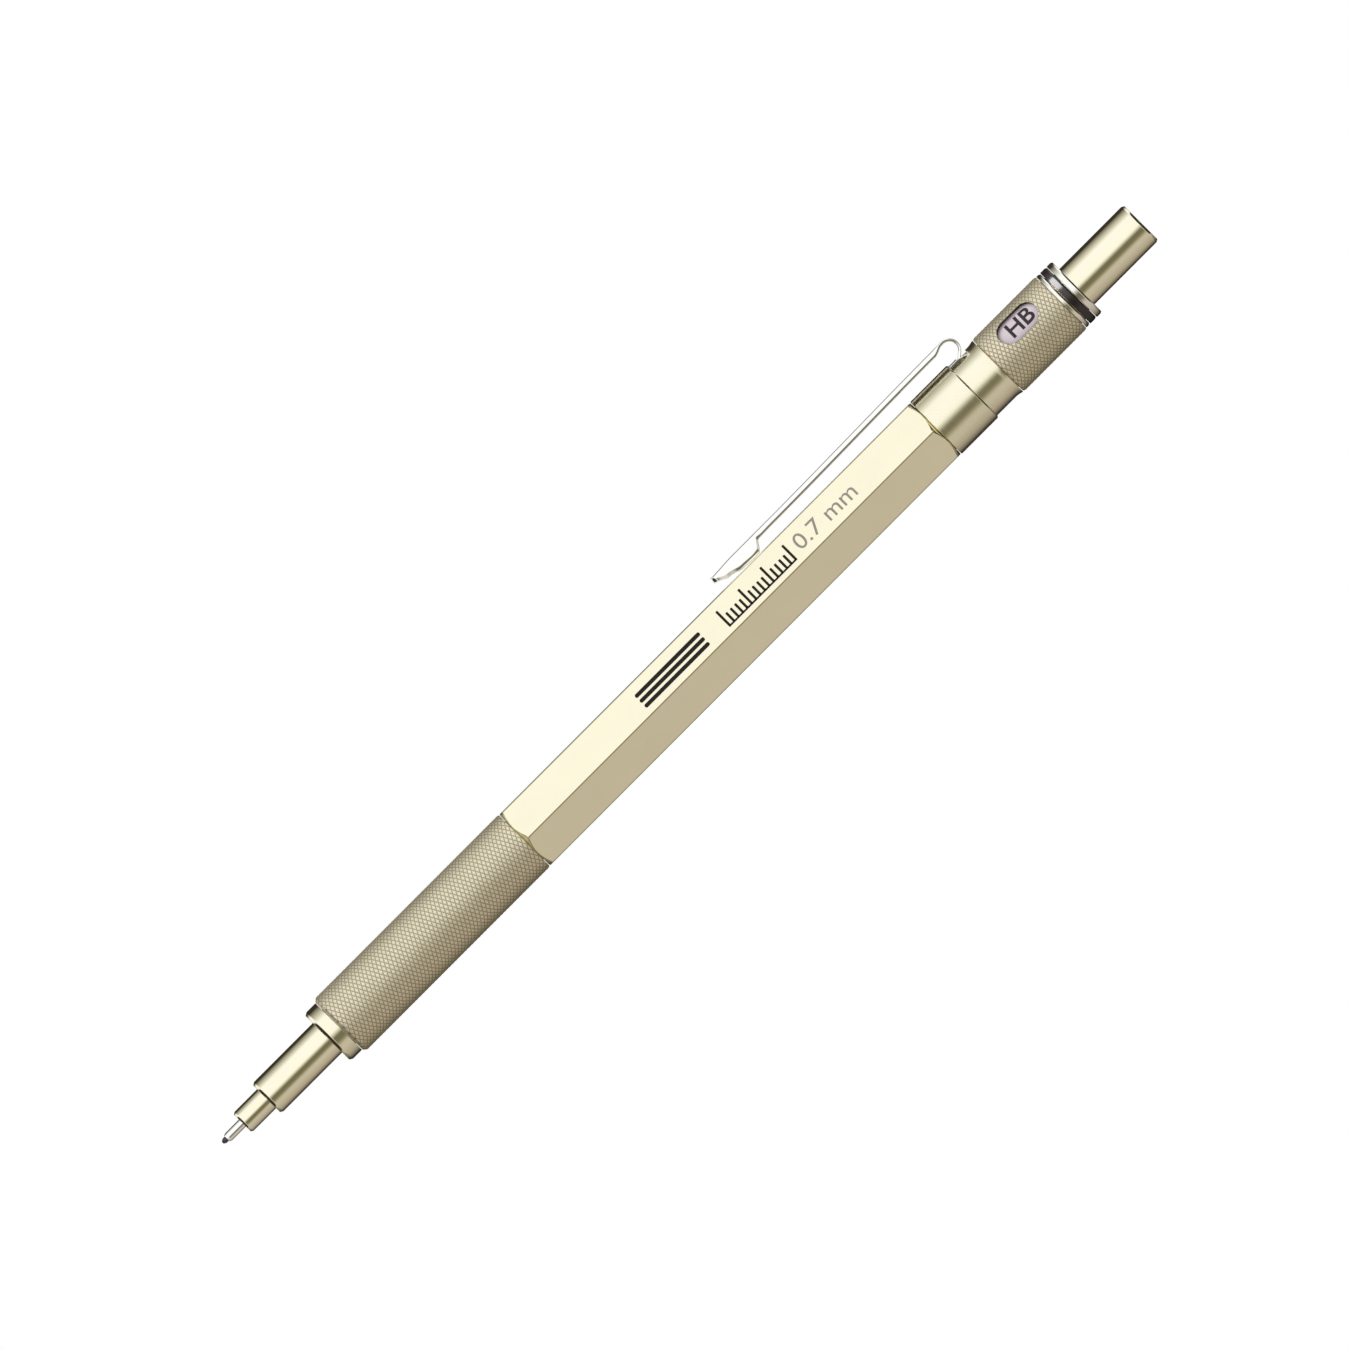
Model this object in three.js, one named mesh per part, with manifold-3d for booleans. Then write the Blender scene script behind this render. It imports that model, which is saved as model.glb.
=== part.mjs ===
// Push-action mechanical drafting pencil for 0.7 mm leads, as an assembly of separate pieces.
// Units are millimetres. The pencil lies along X with its tip towards -X, and its clip is on top (+Z).
// Pieces are drawn with x = 0 at the tip of the lead and their axis on the X axis. The last lines
// move the whole pencil so that it rests on z = 0, with the origin under the middle of its length.

import * as THREE from "three";
import { mergeVertices } from "three/addons/utils/BufferGeometryUtils.js";
import Module from "manifold-3d";

const wasm = await Module();
wasm.setup();

// ---------------------------------------------------------------- driving dimensions

const LENGTH = 142; // lead tip to button end
const LEAD_R = 0.35; // a 0.7 mm lead
const GRIP_R = 4.0; // grip, band and collar
const HEX_FLATS = 7.86; // across the barrel's flats
const END_RING_R = 3.9; // washer, black ring and end ring
const BUTTON_R = 2.73;
const RING_EDGE = 0.08; // on the washer and the black ring
const END_RING_EDGE = 0.15;
const RUNNING_GAP = 0.05; // radial clearance between pieces that fit inside each other
const JOINT_GAP = 0.05; // axial clearance between pieces that meet end to end
const PRESS_FIT = 0.02; // radial clearance between pieces that are pressed together

// stations along the axis, from the tip
const X_SLEEVE = 0.65;
const X_NOSE = 3.05;
const X_NOSE_STEP = 6.8;
const X_NOSE_FLANGE = 16.2;
const X_GRIP = 18.0;
const X_BARREL = 46.7;
const X_BAND = 110.3;
const X_NECK = 115.9;
const X_COLLAR = 119.9;
const X_WASHER = 129.7;
const X_BLACK = 130.3;
const X_END_RING = 131.3;
const X_BUTTON = 132.1; // where the button leaves the end ring

// nose
const NOSE_TIP_R = 1.475;
const NOSE_BODY_R = 2.275;
const NOSE_FLANGE_R = 3.6;
const SPIGOT_R = 2.75;
const SPIGOT_LENGTH = 6.0;
const SLEEVE_R = 0.55;
const SLEEVE_BORE_R = 0.4;
const SLEEVE_END = 7.6;
const RETAINER_START = 8.0;
const RETAINER_END = 9.8;
const RETAINER_R = 1.5;

// chuck and clutch
const RING_TRAVEL = 1.2;
const JAW_START = 12.6;
const JAW_HEAD_LENGTH = 2.0;
const JAW_HEAD_R = 1.42;
const JAW_STEM_R = 0.9;
const JAW_END = 21.0;
const JAW_COUNT = 3;
const JAW_SLIT = 0.16;
const CHUCK_BODY_R = 1.05;
const CHUCK_BORE_R = 0.45;
const RING_START = 14.8;
const RING_LENGTH = 1.8;
const RING_R = 1.85;
const RING_BORE_R = 1.15;
const CLUTCH_START = RING_START + RING_LENGTH + JOINT_GAP;
const CLUTCH_WALL = 2.0;
const CLUTCH_R = 2.3;
const CLUTCH_BORE_R = 1.92;
const CLUTCH_FLANGE_GAP = 0.3; // between the nose's spigot and the clutch sleeve's flange
const CLUTCH_FLANGE_START = X_GRIP + SPIGOT_LENGTH + CLUTCH_FLANGE_GAP;
const CLUTCH_END = 26.0;
const SPRING_R = 1.62;
const SPRING_WIRE_R = 0.2;
const SPRING_START = CLUTCH_START + CLUTCH_WALL + SPRING_WIRE_R + 2 * JOINT_GAP;
const SPRING_END = 28.8;
const SPRING_TURNS = 7;
const COUPLER_START = 29.1;
const COUPLER_END = 36.0;
const COUPLER_R = 2.3;
const CHUCK_BODY_END = 31.0;

// lead store
const TUBE_START = 31.4;
const TUBE_END = 131.0;
const TUBE_R = 1.9;
const TUBE_BORE_R = 1.5;
const WRITING_LEAD_END = 58;
const SPARE_LEAD_START = 36.5;
const SPARE_LEAD_LENGTH = 60;
const SPARE_LEAD_COUNT = 3;
const SPARE_LEAD_SPREAD = 42; // degrees between neighbouring spare leads

// outer shell
const GRIP_CHAMFER = 0.3;
const GRIP_THREAD_R = 2.8;
const SHELL_BORE_R = 3.0; // inside the grip and the barrel's front
const BUSH_R = 2.95;
const BUSH_BORE_R = 2.45;
const BUSH_START = 40;
const BUSH_END = 53.4;
const BARREL_REAR_BORE_R = 3.25;
const BARREL_REAR_BORE_START = 100;
const HEX_END_CHAMFER = 0.55; // length over which the hexagon's corners are turned down
const HEX_END_DROP = 0.1; // how far below the flats the ends are turned
const REAR_TUBE_R = 3.2;
const REAR_TUBE_BORE_R = 2.85;
const REAR_TUBE_START = 100.3;
const REAR_TUBE_END = 131.2;
const NECK_R = 3.78;
const NECK_FLARE = 0.7;
const DRUM_R = 3.5;
const COLLAR_BORE_R = 3.6;
const COLLAR_LIP = 0.9; // length of the collar's bearing at each end
const WINDOW_CENTRE = 124.7;
const WINDOW_LENGTH = 5.4;
const WINDOW_WIDTH = 3.1;
const WINDOW_ANGLE = 28; // degrees above the -Y side

// clip
const CLIP_WIDTH = 3.4;
const CLIP_SHEET = 0.4;
const CLIP_TOP = 6.25; // height of the outer face above the axis, at the loop
const CLIP_DROP = 0.3; // how much lower the strip is at its front
const CLIP_DEPTH = 0.75; // depth of the folded edges
const CLIP_TIP_X = 81.2;
const CLIP_CONTACT_X = 86.3;
const CLIP_STEP_X = 88.6;
const CLIP_HINGE_X = 116.4;
const CLIP_HINGE_GAP = 0.1;
const CLIP_LIP_RISE = 1.2;
const CLIP_TIP_DROP = 0.2;
const CLIP_CONTACT_GAP = 0.04; // between the lip and the barrel
const LOOP_R = 1.3;
const LOOP_REAR_GAP = 0.35; // from the loop to the end of the slot
const FOOT_BEND_R = 0.9;
const FOOT_WIDTH = 2.3;
const FOOT_SHOULDER = 4.1; // height above the axis at which the loop narrows to the foot
const SLOT_START = 113.4;
const SLOT_END = 119.0;
const MOUTH_START = 116.2;
const SLOT_HEADROOM = 0.06; // above the foot
const SLOT_FLOOR = 3.3;
const SLOT_WIDTH = FOOT_WIDTH + 0.2;
const FOOT_END = 114.0;

// rear
const BUTTON_START = 128.6;
const BUTTON_BORE_R = 2.38;
const BUTTON_END_WALL = 1.2;
const BUTTON_EDGE = 0.3;
const BUTTON_BUSH_START = 125.4;
const BUTTON_BUSH_END = 130.9;
const BUTTON_BUSH_R = 2.33;
const FERRULE_PLUG_START = 126.5;
const FERRULE_FLANGE_START = 131.05;
const FERRULE_FLANGE_LENGTH = 0.7;
const FERRULE_CUP_END = 134.8;
const FERRULE_R = 2.25;
const FERRULE_CUP_BORE_R = 1.95;
const ERASER_R = 1.9;
const ERASER_END = 138.6;

const REST_HEIGHT = GRIP_R; // the grip and collar touch the desk

// facets round a full circle
const FINE = 36;
const COARSE = 24;
const SMALL = 10;

// ---------------------------------------------------------------- materials

function material(color, roughness, metalness) {
  return new THREE.MeshStandardMaterial({ color, roughness, metalness });
}

const champagne = material(0xd9cba4, 0.3, 1.0);
const knurledChampagne = material(0xc9ba94, 0.5, 1.0);
const chrome = material(0xf2f3f5, 0.06, 1.0);
const silver = material(0xd8d8d4, 0.22, 1.0);
const blackGloss = material(0x0b0a0c, 0.12, 0.0);
const brass = material(0xc9a552, 0.3, 1.0);
const steel = material(0xa9abad, 0.28, 1.0);
const clearPlastic = material(0xdfe3e0, 0.2, 0.0);
const paleDrum = material(0xeeeaf2, 0.35, 0.0);
const darkRubber = material(0x1c1c1e, 0.8, 0.0);
const whiteRubber = material(0xf0efea, 0.85, 0.0);
const graphite = material(0x2b2b2e, 0.45, 0.1);

// ---------------------------------------------------------------- shapes

const FLAT_LIMIT = 1e-9;

// A solid turned about the X axis. points are [x, r] pairs that close on themselves.
function turned(points, facets = FINE) {
  const profile = points.map(([x, r]) => new THREE.Vector2(r, x));
  profile.push(profile[0].clone());
  const geometry = new THREE.LatheGeometry(profile, facets);
  geometry.rotateZ(-Math.PI / 2);
  return closed(geometry);
}

// A tube about the X axis.
function tube(x0, x1, outer, inner, facets = FINE) {
  return turned([[x0, inner], [x1, inner], [x1, outer], [x0, outer]], facets);
}

// A rod about the X axis.
function rod(x0, x1, r, facets = FINE) {
  return turned([[x0, 0], [x1, 0], [x1, r], [x0, r]], facets);
}

// A shape drawn in the XZ plane and given a width along Y, centred on the axis.
function acrossWidth(shape, width, curveSteps = 8) {
  const geometry = new THREE.ExtrudeGeometry(shape, {
    depth: width,
    bevelEnabled: false,
    curveSegments: curveSteps,
  });
  geometry.rotateX(Math.PI / 2);
  geometry.translate(0, width / 2, 0);
  return closed(geometry);
}

// Merges the shared vertices, drops the triangles without area and keeps the faces pointing out.
function closed(geometry) {
  const plain = geometry.clone();
  plain.deleteAttribute("normal");
  plain.deleteAttribute("uv");
  const merged = mergeVertices(plain, 1e-5);
  const position = merged.getAttribute("position");
  const index = merged.getIndex();
  const corners = [new THREE.Vector3(), new THREE.Vector3(), new THREE.Vector3()];
  const kept = [];
  let volume = 0;
  for (let i = 0; i < index.count; i += 3) {
    const ids = [index.getX(i), index.getX(i + 1), index.getX(i + 2)];
    ids.forEach((id, k) => corners[k].fromBufferAttribute(position, id));
    const [a, b, c] = corners;
    const area = b.clone().sub(a).cross(c.clone().sub(a)).length();
    if (new Set(ids).size === 3 && area > FLAT_LIMIT) {
      kept.push(ids);
      volume += a.dot(b.clone().cross(c)) / 6;
    }
  }
  const ordered = volume < 0 ? kept.map(([a, b, c]) => [a, c, b]) : kept;
  const result = new THREE.BufferGeometry();
  result.setAttribute("position", position);
  result.setIndex(ordered.flat());
  return result;
}

function toSolid(geometry) {
  return new wasm.Manifold(
    new wasm.Mesh({
      numProp: 3,
      vertProperties: new Float32Array(geometry.getAttribute("position").array),
      triVerts: new Uint32Array(geometry.getIndex().array),
    }),
  );
}

function toGeometry(solid) {
  const mesh = solid.getMesh();
  const geometry = new THREE.BufferGeometry();
  geometry.setAttribute("position", new THREE.BufferAttribute(mesh.vertProperties, 3));
  geometry.setIndex(new THREE.BufferAttribute(mesh.triVerts, 1));
  return closed(geometry);
}

function cut(geometry, ...tools) {
  return toGeometry(tools.reduce((body, tool) => body.subtract(toSolid(tool)), toSolid(geometry)));
}

function common(geometry, other) {
  return toGeometry(toSolid(geometry).intersect(toSolid(other)));
}

function block(x0, x1, y0, y1, z0, z1) {
  const geometry = new THREE.BoxGeometry(x1 - x0, y1 - y0, z1 - z0);
  geometry.translate((x0 + x1) / 2, (y0 + y1) / 2, (z0 + z1) / 2);
  return closed(geometry);
}

const pencil = new THREE.Group();

function place(name, geometry, look) {
  const mesh = new THREE.Mesh(geometry, look);
  mesh.name = name;
  pencil.add(mesh);
  return mesh;
}

// ---------------------------------------------------------------- nose

// The lead is worn to a short blunt point.
function writingLead() {
  const point = 0.25;
  const pointR = 0.16;
  return turned(
    [[0, 0], [WRITING_LEAD_END, 0], [WRITING_LEAD_END, LEAD_R], [point, LEAD_R], [0, pointR]],
    SMALL,
  );
}

function leadSleeve() {
  const edge = 0.12;
  return turned(
    [
      [X_SLEEVE, SLEEVE_BORE_R],
      [SLEEVE_END, SLEEVE_BORE_R],
      [SLEEVE_END, SLEEVE_R],
      [X_SLEEVE + edge, SLEEVE_R],
      [X_SLEEVE, SLEEVE_R - edge],
    ],
    COARSE,
  );
}

// Two straight steps and a flange outside; bores for the sleeve, retainer, chuck and clutch inside.
function noseCone() {
  const edge = 0.15;
  const sleeveFit = SLEEVE_R + PRESS_FIT / 2;
  const retainerFit = RETAINER_R + PRESS_FIT;
  const chuckRoomR = 1.66;
  const ringRoomStart = RING_START - RING_TRAVEL - JOINT_GAP;
  const ringRoomR = RING_R + 2 * RUNNING_GAP;
  const clutchRoomStart = CLUTCH_START - 3 * JOINT_GAP;
  const clutchRoomR = CLUTCH_R + RUNNING_GAP;
  const spigotEnd = X_GRIP + SPIGOT_LENGTH;
  return turned([
    [X_NOSE, sleeveFit],
    [RETAINER_START, sleeveFit],
    [RETAINER_START, retainerFit],
    [RETAINER_END, retainerFit],
    [RETAINER_END, chuckRoomR],
    [ringRoomStart, chuckRoomR],
    [ringRoomStart, ringRoomR],
    [clutchRoomStart, ringRoomR],
    [clutchRoomStart, clutchRoomR],
    [spigotEnd, clutchRoomR],
    [spigotEnd, SPIGOT_R],
    [X_GRIP - JOINT_GAP, SPIGOT_R],
    [X_GRIP - JOINT_GAP, NOSE_FLANGE_R],
    [X_NOSE_FLANGE + edge, NOSE_FLANGE_R],
    [X_NOSE_FLANGE, NOSE_FLANGE_R - edge],
    [X_NOSE_FLANGE, NOSE_BODY_R],
    [X_NOSE_STEP + edge, NOSE_BODY_R],
    [X_NOSE_STEP, NOSE_BODY_R - edge],
    [X_NOSE_STEP, NOSE_TIP_R],
    [X_NOSE + edge, NOSE_TIP_R],
    [X_NOSE, NOSE_TIP_R - edge],
  ]);
}

function leadRetainer() {
  const slack = 0.1;
  return tube(RETAINER_START + slack, RETAINER_END - slack, RETAINER_R, LEAD_R + PRESS_FIT, COARSE);
}

// ---------------------------------------------------------------- chuck and clutch

// One third of the split front of the chuck: a head with a tapered back, on a thin stem.
function chuckJaw(turn) {
  const headEnd = JAW_START + JAW_HEAD_LENGTH;
  const taper = 0.5;
  const grip = LEAD_R + PRESS_FIT / 2;
  const whole = turned(
    [
      [JAW_START, grip],
      [JAW_END - JOINT_GAP, grip],
      [JAW_END - JOINT_GAP, JAW_STEM_R],
      [headEnd + taper / 2, JAW_STEM_R],
      [headEnd - taper, JAW_HEAD_R],
      [JAW_START + taper / 2, JAW_HEAD_R],
      [JAW_START, JAW_HEAD_R - taper / 2],
    ],
    COARSE,
  );
  const reach = 3;
  const half = Math.PI / JAW_COUNT;
  const inset = JAW_SLIT / 2 / Math.sin(half);
  const wedge = new THREE.Shape([
    new THREE.Vector2(inset, 0),
    new THREE.Vector2(inset + reach * Math.cos(half), reach * Math.sin(half)),
    new THREE.Vector2(inset + reach * 2, 0),
    new THREE.Vector2(inset + reach * Math.cos(half), -reach * Math.sin(half)),
  ]);
  const sector = new THREE.ExtrudeGeometry(wedge, { depth: JAW_END, bevelEnabled: false });
  sector.rotateY(Math.PI / 2);
  sector.rotateX(turn);
  return common(whole, closed(sector));
}

function chuckBody() {
  const shoulder = COUPLER_START - JOINT_GAP;
  return turned(
    [
      [JAW_END, CHUCK_BORE_R],
      [CHUCK_BODY_END, CHUCK_BORE_R],
      [CHUCK_BODY_END, CHUCK_BODY_R],
      [shoulder, CHUCK_BODY_R],
      [JAW_END, JAW_STEM_R],
    ],
    COARSE,
  );
}

function clutchRing() {
  const seat = 0.35;
  return turned(
    [
      [RING_START, RING_BORE_R + seat],
      [RING_START + seat, RING_BORE_R],
      [RING_START + RING_LENGTH, RING_BORE_R],
      [RING_START + RING_LENGTH, RING_R],
      [RING_START, RING_R],
    ],
    COARSE,
  );
}

// The front wall stops the ring and seats the spring. The rear flange is held in the grip.
function clutchSleeve() {
  const wallEnd = CLUTCH_START + CLUTCH_WALL;
  return turned(
    [
      [CLUTCH_START, RING_BORE_R],
      [wallEnd, RING_BORE_R],
      [wallEnd, CLUTCH_BORE_R],
      [CLUTCH_END, CLUTCH_BORE_R],
      [CLUTCH_END, BUSH_R],
      [CLUTCH_FLANGE_START, BUSH_R],
      [CLUTCH_FLANGE_START, CLUTCH_R],
      [CLUTCH_START, CLUTCH_R],
    ],
    COARSE,
  );
}

class Helix extends THREE.Curve {
  constructor(start, end, radius, turns) {
    super();
    Object.assign(this, { start, end, radius, turns });
  }
  getPoint(t, target = new THREE.Vector3()) {
    const angle = 2 * Math.PI * this.turns * t;
    const x = this.start + (this.end - this.start) * t;
    return target.set(x, this.radius * Math.cos(angle), this.radius * Math.sin(angle));
  }
}

function clutchSpring() {
  const sides = 5;
  const stepsPerTurn = 12;
  const section = new THREE.Shape();
  for (let i = 0; i < sides; i += 1) {
    const angle = (2 * Math.PI * i) / sides;
    const x = SPRING_WIRE_R * Math.cos(angle);
    const y = SPRING_WIRE_R * Math.sin(angle);
    if (i === 0) section.moveTo(x, y);
    else section.lineTo(x, y);
  }
  section.closePath();
  const path = new Helix(SPRING_START, SPRING_END, SPRING_R, SPRING_TURNS);
  const geometry = new THREE.ExtrudeGeometry(section, {
    steps: SPRING_TURNS * stepsPerTurn,
    bevelEnabled: false,
    extrudePath: path,
  });
  return closed(geometry);
}

// The front end is pressed on the chuck's stem, the rear end holds the lead tube.
function tubeCoupler() {
  const tubeSeat = TUBE_START - JOINT_GAP;
  const edge = 0.25;
  return turned(
    [
      [COUPLER_START, CHUCK_BODY_R + PRESS_FIT],
      [CHUCK_BODY_END + JOINT_GAP, CHUCK_BODY_R + PRESS_FIT],
      [CHUCK_BODY_END + JOINT_GAP, CHUCK_BORE_R],
      [tubeSeat, CHUCK_BORE_R],
      [tubeSeat, TUBE_R + PRESS_FIT],
      [COUPLER_END, TUBE_R + PRESS_FIT],
      [COUPLER_END, COUPLER_R - edge],
      [COUPLER_END - edge, COUPLER_R],
      [COUPLER_START + edge, COUPLER_R],
      [COUPLER_START, COUPLER_R - edge],
    ],
    COARSE,
  );
}

// ---------------------------------------------------------------- lead store

// A spare lead lies on the floor of the lead tube, beside its neighbours.
function spareLead(offset) {
  const lead = rod(SPARE_LEAD_START, SPARE_LEAD_START + SPARE_LEAD_LENGTH, LEAD_R, SMALL);
  lead.translate(0, 0, -(TUBE_BORE_R - LEAD_R - 2 * RUNNING_GAP));
  lead.rotateX(THREE.MathUtils.degToRad(offset * SPARE_LEAD_SPREAD));
  return lead;
}

// ---------------------------------------------------------------- outer shell

function grip() {
  const threadEnd = CLUTCH_FLANGE_START - JOINT_GAP;
  return turned([
    [X_GRIP, GRIP_THREAD_R],
    [threadEnd, GRIP_THREAD_R],
    [threadEnd, SHELL_BORE_R],
    [X_BARREL - JOINT_GAP, SHELL_BORE_R],
    [X_BARREL - JOINT_GAP, GRIP_R - GRIP_CHAMFER / 2],
    [X_BARREL - GRIP_CHAMFER, GRIP_R],
    [X_GRIP + GRIP_CHAMFER, GRIP_R],
    [X_GRIP, GRIP_R - GRIP_CHAMFER],
  ]);
}

// A hexagon with flats on top and underneath, its corners turned down at both ends.
function barrel() {
  const cornerR = HEX_FLATS / 2 / Math.cos(Math.PI / 6);
  const end = X_BAND - JOINT_GAP;
  const hexagon = new THREE.CylinderGeometry(cornerR, cornerR, end - X_BARREL, 6);
  hexagon.rotateY(Math.PI / 6);
  hexagon.rotateZ(-Math.PI / 2);
  hexagon.translate((X_BARREL + end) / 2, 0, 0);
  const turnedR = HEX_FLATS / 2 - HEX_END_DROP;
  const overCorner = cornerR + PRESS_FIT;
  const overrun = 1;
  const envelope = turned([
    [X_BARREL, 0],
    [end, 0],
    [end, turnedR],
    [end - HEX_END_CHAMFER, overCorner],
    [X_BARREL + HEX_END_CHAMFER, overCorner],
    [X_BARREL, turnedR],
  ]);
  const bore = turned(
    [
      [X_BARREL - overrun, 0],
      [end + overrun, 0],
      [end + overrun, BARREL_REAR_BORE_R],
      [BARREL_REAR_BORE_START, BARREL_REAR_BORE_R],
      [BARREL_REAR_BORE_START, SHELL_BORE_R],
      [X_BARREL - overrun, SHELL_BORE_R],
    ],
    COARSE,
  );
  return cut(common(closed(hexagon), envelope), bore);
}

// A smooth band, then a slightly thinner neck. The clip's foot sits in a pocket on top.
function clipBand() {
  const edge = 0.12;
  const end = X_COLLAR - JOINT_GAP;
  const body = turned([
    [X_BAND, BARREL_REAR_BORE_R],
    [end, BARREL_REAR_BORE_R],
    [end, GRIP_R - RUNNING_GAP],
    [end - NECK_FLARE, NECK_R],
    [X_NECK + edge, NECK_R],
    [X_NECK, GRIP_R],
    [X_BAND + edge, GRIP_R],
    [X_BAND, GRIP_R - edge],
  ]);
  const side = SLOT_WIDTH / 2;
  const overlap = 1;
  const pocketTop = SLOT_FLOOR + CLIP_SHEET + SLOT_HEADROOM;
  const pocket = block(SLOT_START, X_NECK + overlap, -side, side, 0, pocketTop);
  const mouth = block(MOUTH_START, SLOT_END, -side, side, 0, GRIP_R + overlap);
  return cut(body, pocket, mouth);
}

function rearTube() {
  return tube(REAR_TUBE_START, REAR_TUBE_END, REAR_TUBE_R, REAR_TUBE_BORE_R);
}

function gradeDrum() {
  const gap = 2 * JOINT_GAP;
  return tube(X_COLLAR + gap, X_WASHER - gap, DRUM_R, REAR_TUBE_R + RUNNING_GAP);
}

// A slot with round ends, cut through the collar's wall.
function windowCutter() {
  const end = WINDOW_WIDTH / 2;
  const half = WINDOW_LENGTH / 2 - end;
  const outline = new THREE.Shape();
  outline.moveTo(-half, -end);
  outline.lineTo(half, -end);
  outline.absarc(half, 0, end, -Math.PI / 2, Math.PI / 2, false);
  outline.lineTo(-half, end);
  outline.absarc(-half, 0, end, Math.PI / 2, (3 * Math.PI) / 2, false);
  const geometry = new THREE.ExtrudeGeometry(outline, {
    depth: 2 * GRIP_R,
    bevelEnabled: false,
    curveSegments: 8,
  });
  geometry.translate(WINDOW_CENTRE, 0, 0);
  geometry.rotateX(THREE.MathUtils.degToRad(90 - WINDOW_ANGLE));
  return closed(geometry);
}

function gradeCollar() {
  const x0 = X_COLLAR;
  const x1 = X_WASHER - JOINT_GAP;
  const edge = 0.12;
  const body = turned([
    [x0, DRUM_R + RUNNING_GAP],
    [x0 + COLLAR_LIP, DRUM_R + RUNNING_GAP],
    [x0 + COLLAR_LIP, COLLAR_BORE_R],
    [x1 - COLLAR_LIP, COLLAR_BORE_R],
    [x1 - COLLAR_LIP, DRUM_R + RUNNING_GAP],
    [x1, DRUM_R + RUNNING_GAP],
    [x1, GRIP_R - edge],
    [x1 - edge, GRIP_R],
    [x0 + edge, GRIP_R],
    [x0, GRIP_R - edge],
  ]);
  return cut(body, windowCutter());
}

// A ring on the rear tube with both outer edges broken.
function ring(x0, x1, inner, edge) {
  return turned([
    [x0, inner],
    [x1, inner],
    [x1, END_RING_R - edge],
    [x1 - edge, END_RING_R],
    [x0 + edge, END_RING_R],
    [x0, END_RING_R - edge],
  ]);
}

// The end ring closes the rear tube and guides the button.
function endRing() {
  return ring(X_END_RING, X_BUTTON, BUTTON_R + 1.5 * RUNNING_GAP, END_RING_EDGE);
}

// ---------------------------------------------------------------- clip

// Side profile of the strip: folded edges make it deep, and the lip dips to the barrel and curls up.
function clipStrip() {
  const under = CLIP_TOP - CLIP_DEPTH;
  const front = CLIP_TOP - CLIP_DROP;
  const frontUnder = under - CLIP_DROP;
  const touch = HEX_FLATS / 2 + CLIP_CONTACT_GAP;
  const tipZ = touch + CLIP_LIP_RISE;
  const end = CLIP_HINGE_X - CLIP_HINGE_GAP;
  // control points of the lip's curves
  const curlX = CLIP_TIP_X + 2.2;
  const curlZ = touch + 0.15;
  const heelX = CLIP_CONTACT_X + 0.9;
  const riseX = CLIP_CONTACT_X + 1.2;
  const riseZ = touch + 0.6;
  const shoulderX = CLIP_CONTACT_X + 1.5;
  const browX = CLIP_TIP_X + 3;
  const outline = new THREE.Shape();
  outline.moveTo(CLIP_TIP_X, tipZ);
  outline.quadraticCurveTo(curlX, curlZ, CLIP_CONTACT_X, touch);
  outline.quadraticCurveTo(heelX, touch, riseX, riseZ);
  outline.quadraticCurveTo(shoulderX, frontUnder, CLIP_STEP_X, frontUnder);
  outline.lineTo(end, under);
  outline.lineTo(end, CLIP_TOP);
  outline.lineTo(CLIP_STEP_X, front);
  outline.quadraticCurveTo(browX, front, CLIP_TIP_X, front - CLIP_TIP_DROP);
  outline.closePath();
  return acrossWidth(outline, CLIP_WIDTH, 4);
}

// The strip's rear end bends down in a loop, narrows, and goes through the slot under the band.
function clipLoop() {
  const innerR = LOOP_R - CLIP_SHEET;
  const rear = SLOT_END - LOOP_REAR_GAP;
  const start = CLIP_HINGE_X;
  const footTop = SLOT_FLOOR + CLIP_SHEET;
  const footZ = SLOT_FLOOR + FOOT_BEND_R;
  const outline = new THREE.Shape();
  outline.moveTo(start, CLIP_TOP);
  outline.absarc(rear - LOOP_R, CLIP_TOP - LOOP_R, LOOP_R, Math.PI / 2, 0, true);
  outline.absarc(rear - FOOT_BEND_R, footZ, FOOT_BEND_R, 0, -Math.PI / 2, true);
  outline.lineTo(FOOT_END, SLOT_FLOOR);
  outline.lineTo(FOOT_END, footTop);
  outline.absarc(rear - FOOT_BEND_R, footZ, FOOT_BEND_R - CLIP_SHEET, -Math.PI / 2, 0, false);
  outline.absarc(rear - LOOP_R, CLIP_TOP - LOOP_R, innerR, 0, Math.PI / 2, false);
  outline.lineTo(start, CLIP_TOP - CLIP_SHEET);
  outline.closePath();
  const side = FOOT_WIDTH / 2;
  const left = block(FOOT_END - 1, SLOT_END, side, CLIP_WIDTH, 0, FOOT_SHOULDER);
  const right = block(FOOT_END - 1, SLOT_END, -CLIP_WIDTH, -side, 0, FOOT_SHOULDER);
  return cut(acrossWidth(outline, CLIP_WIDTH, 5), left, right);
}

// ---------------------------------------------------------------- rear

// A hollow cap with a flat, slightly rounded end.
function pushButton() {
  const chamfer = BUTTON_EDGE * 0.3;
  return turned([
    [BUTTON_START, BUTTON_BORE_R],
    [LENGTH - BUTTON_END_WALL, BUTTON_BORE_R],
    [LENGTH - BUTTON_END_WALL, 0],
    [LENGTH, 0],
    [LENGTH, BUTTON_R - BUTTON_EDGE],
    [LENGTH - chamfer, BUTTON_R - chamfer],
    [LENGTH - BUTTON_EDGE, BUTTON_R],
    [BUTTON_START, BUTTON_R],
  ]);
}

function buttonBush() {
  return tube(BUTTON_BUSH_START, BUTTON_BUSH_END, BUTTON_BUSH_R, TUBE_R + PRESS_FIT, COARSE);
}

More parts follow.
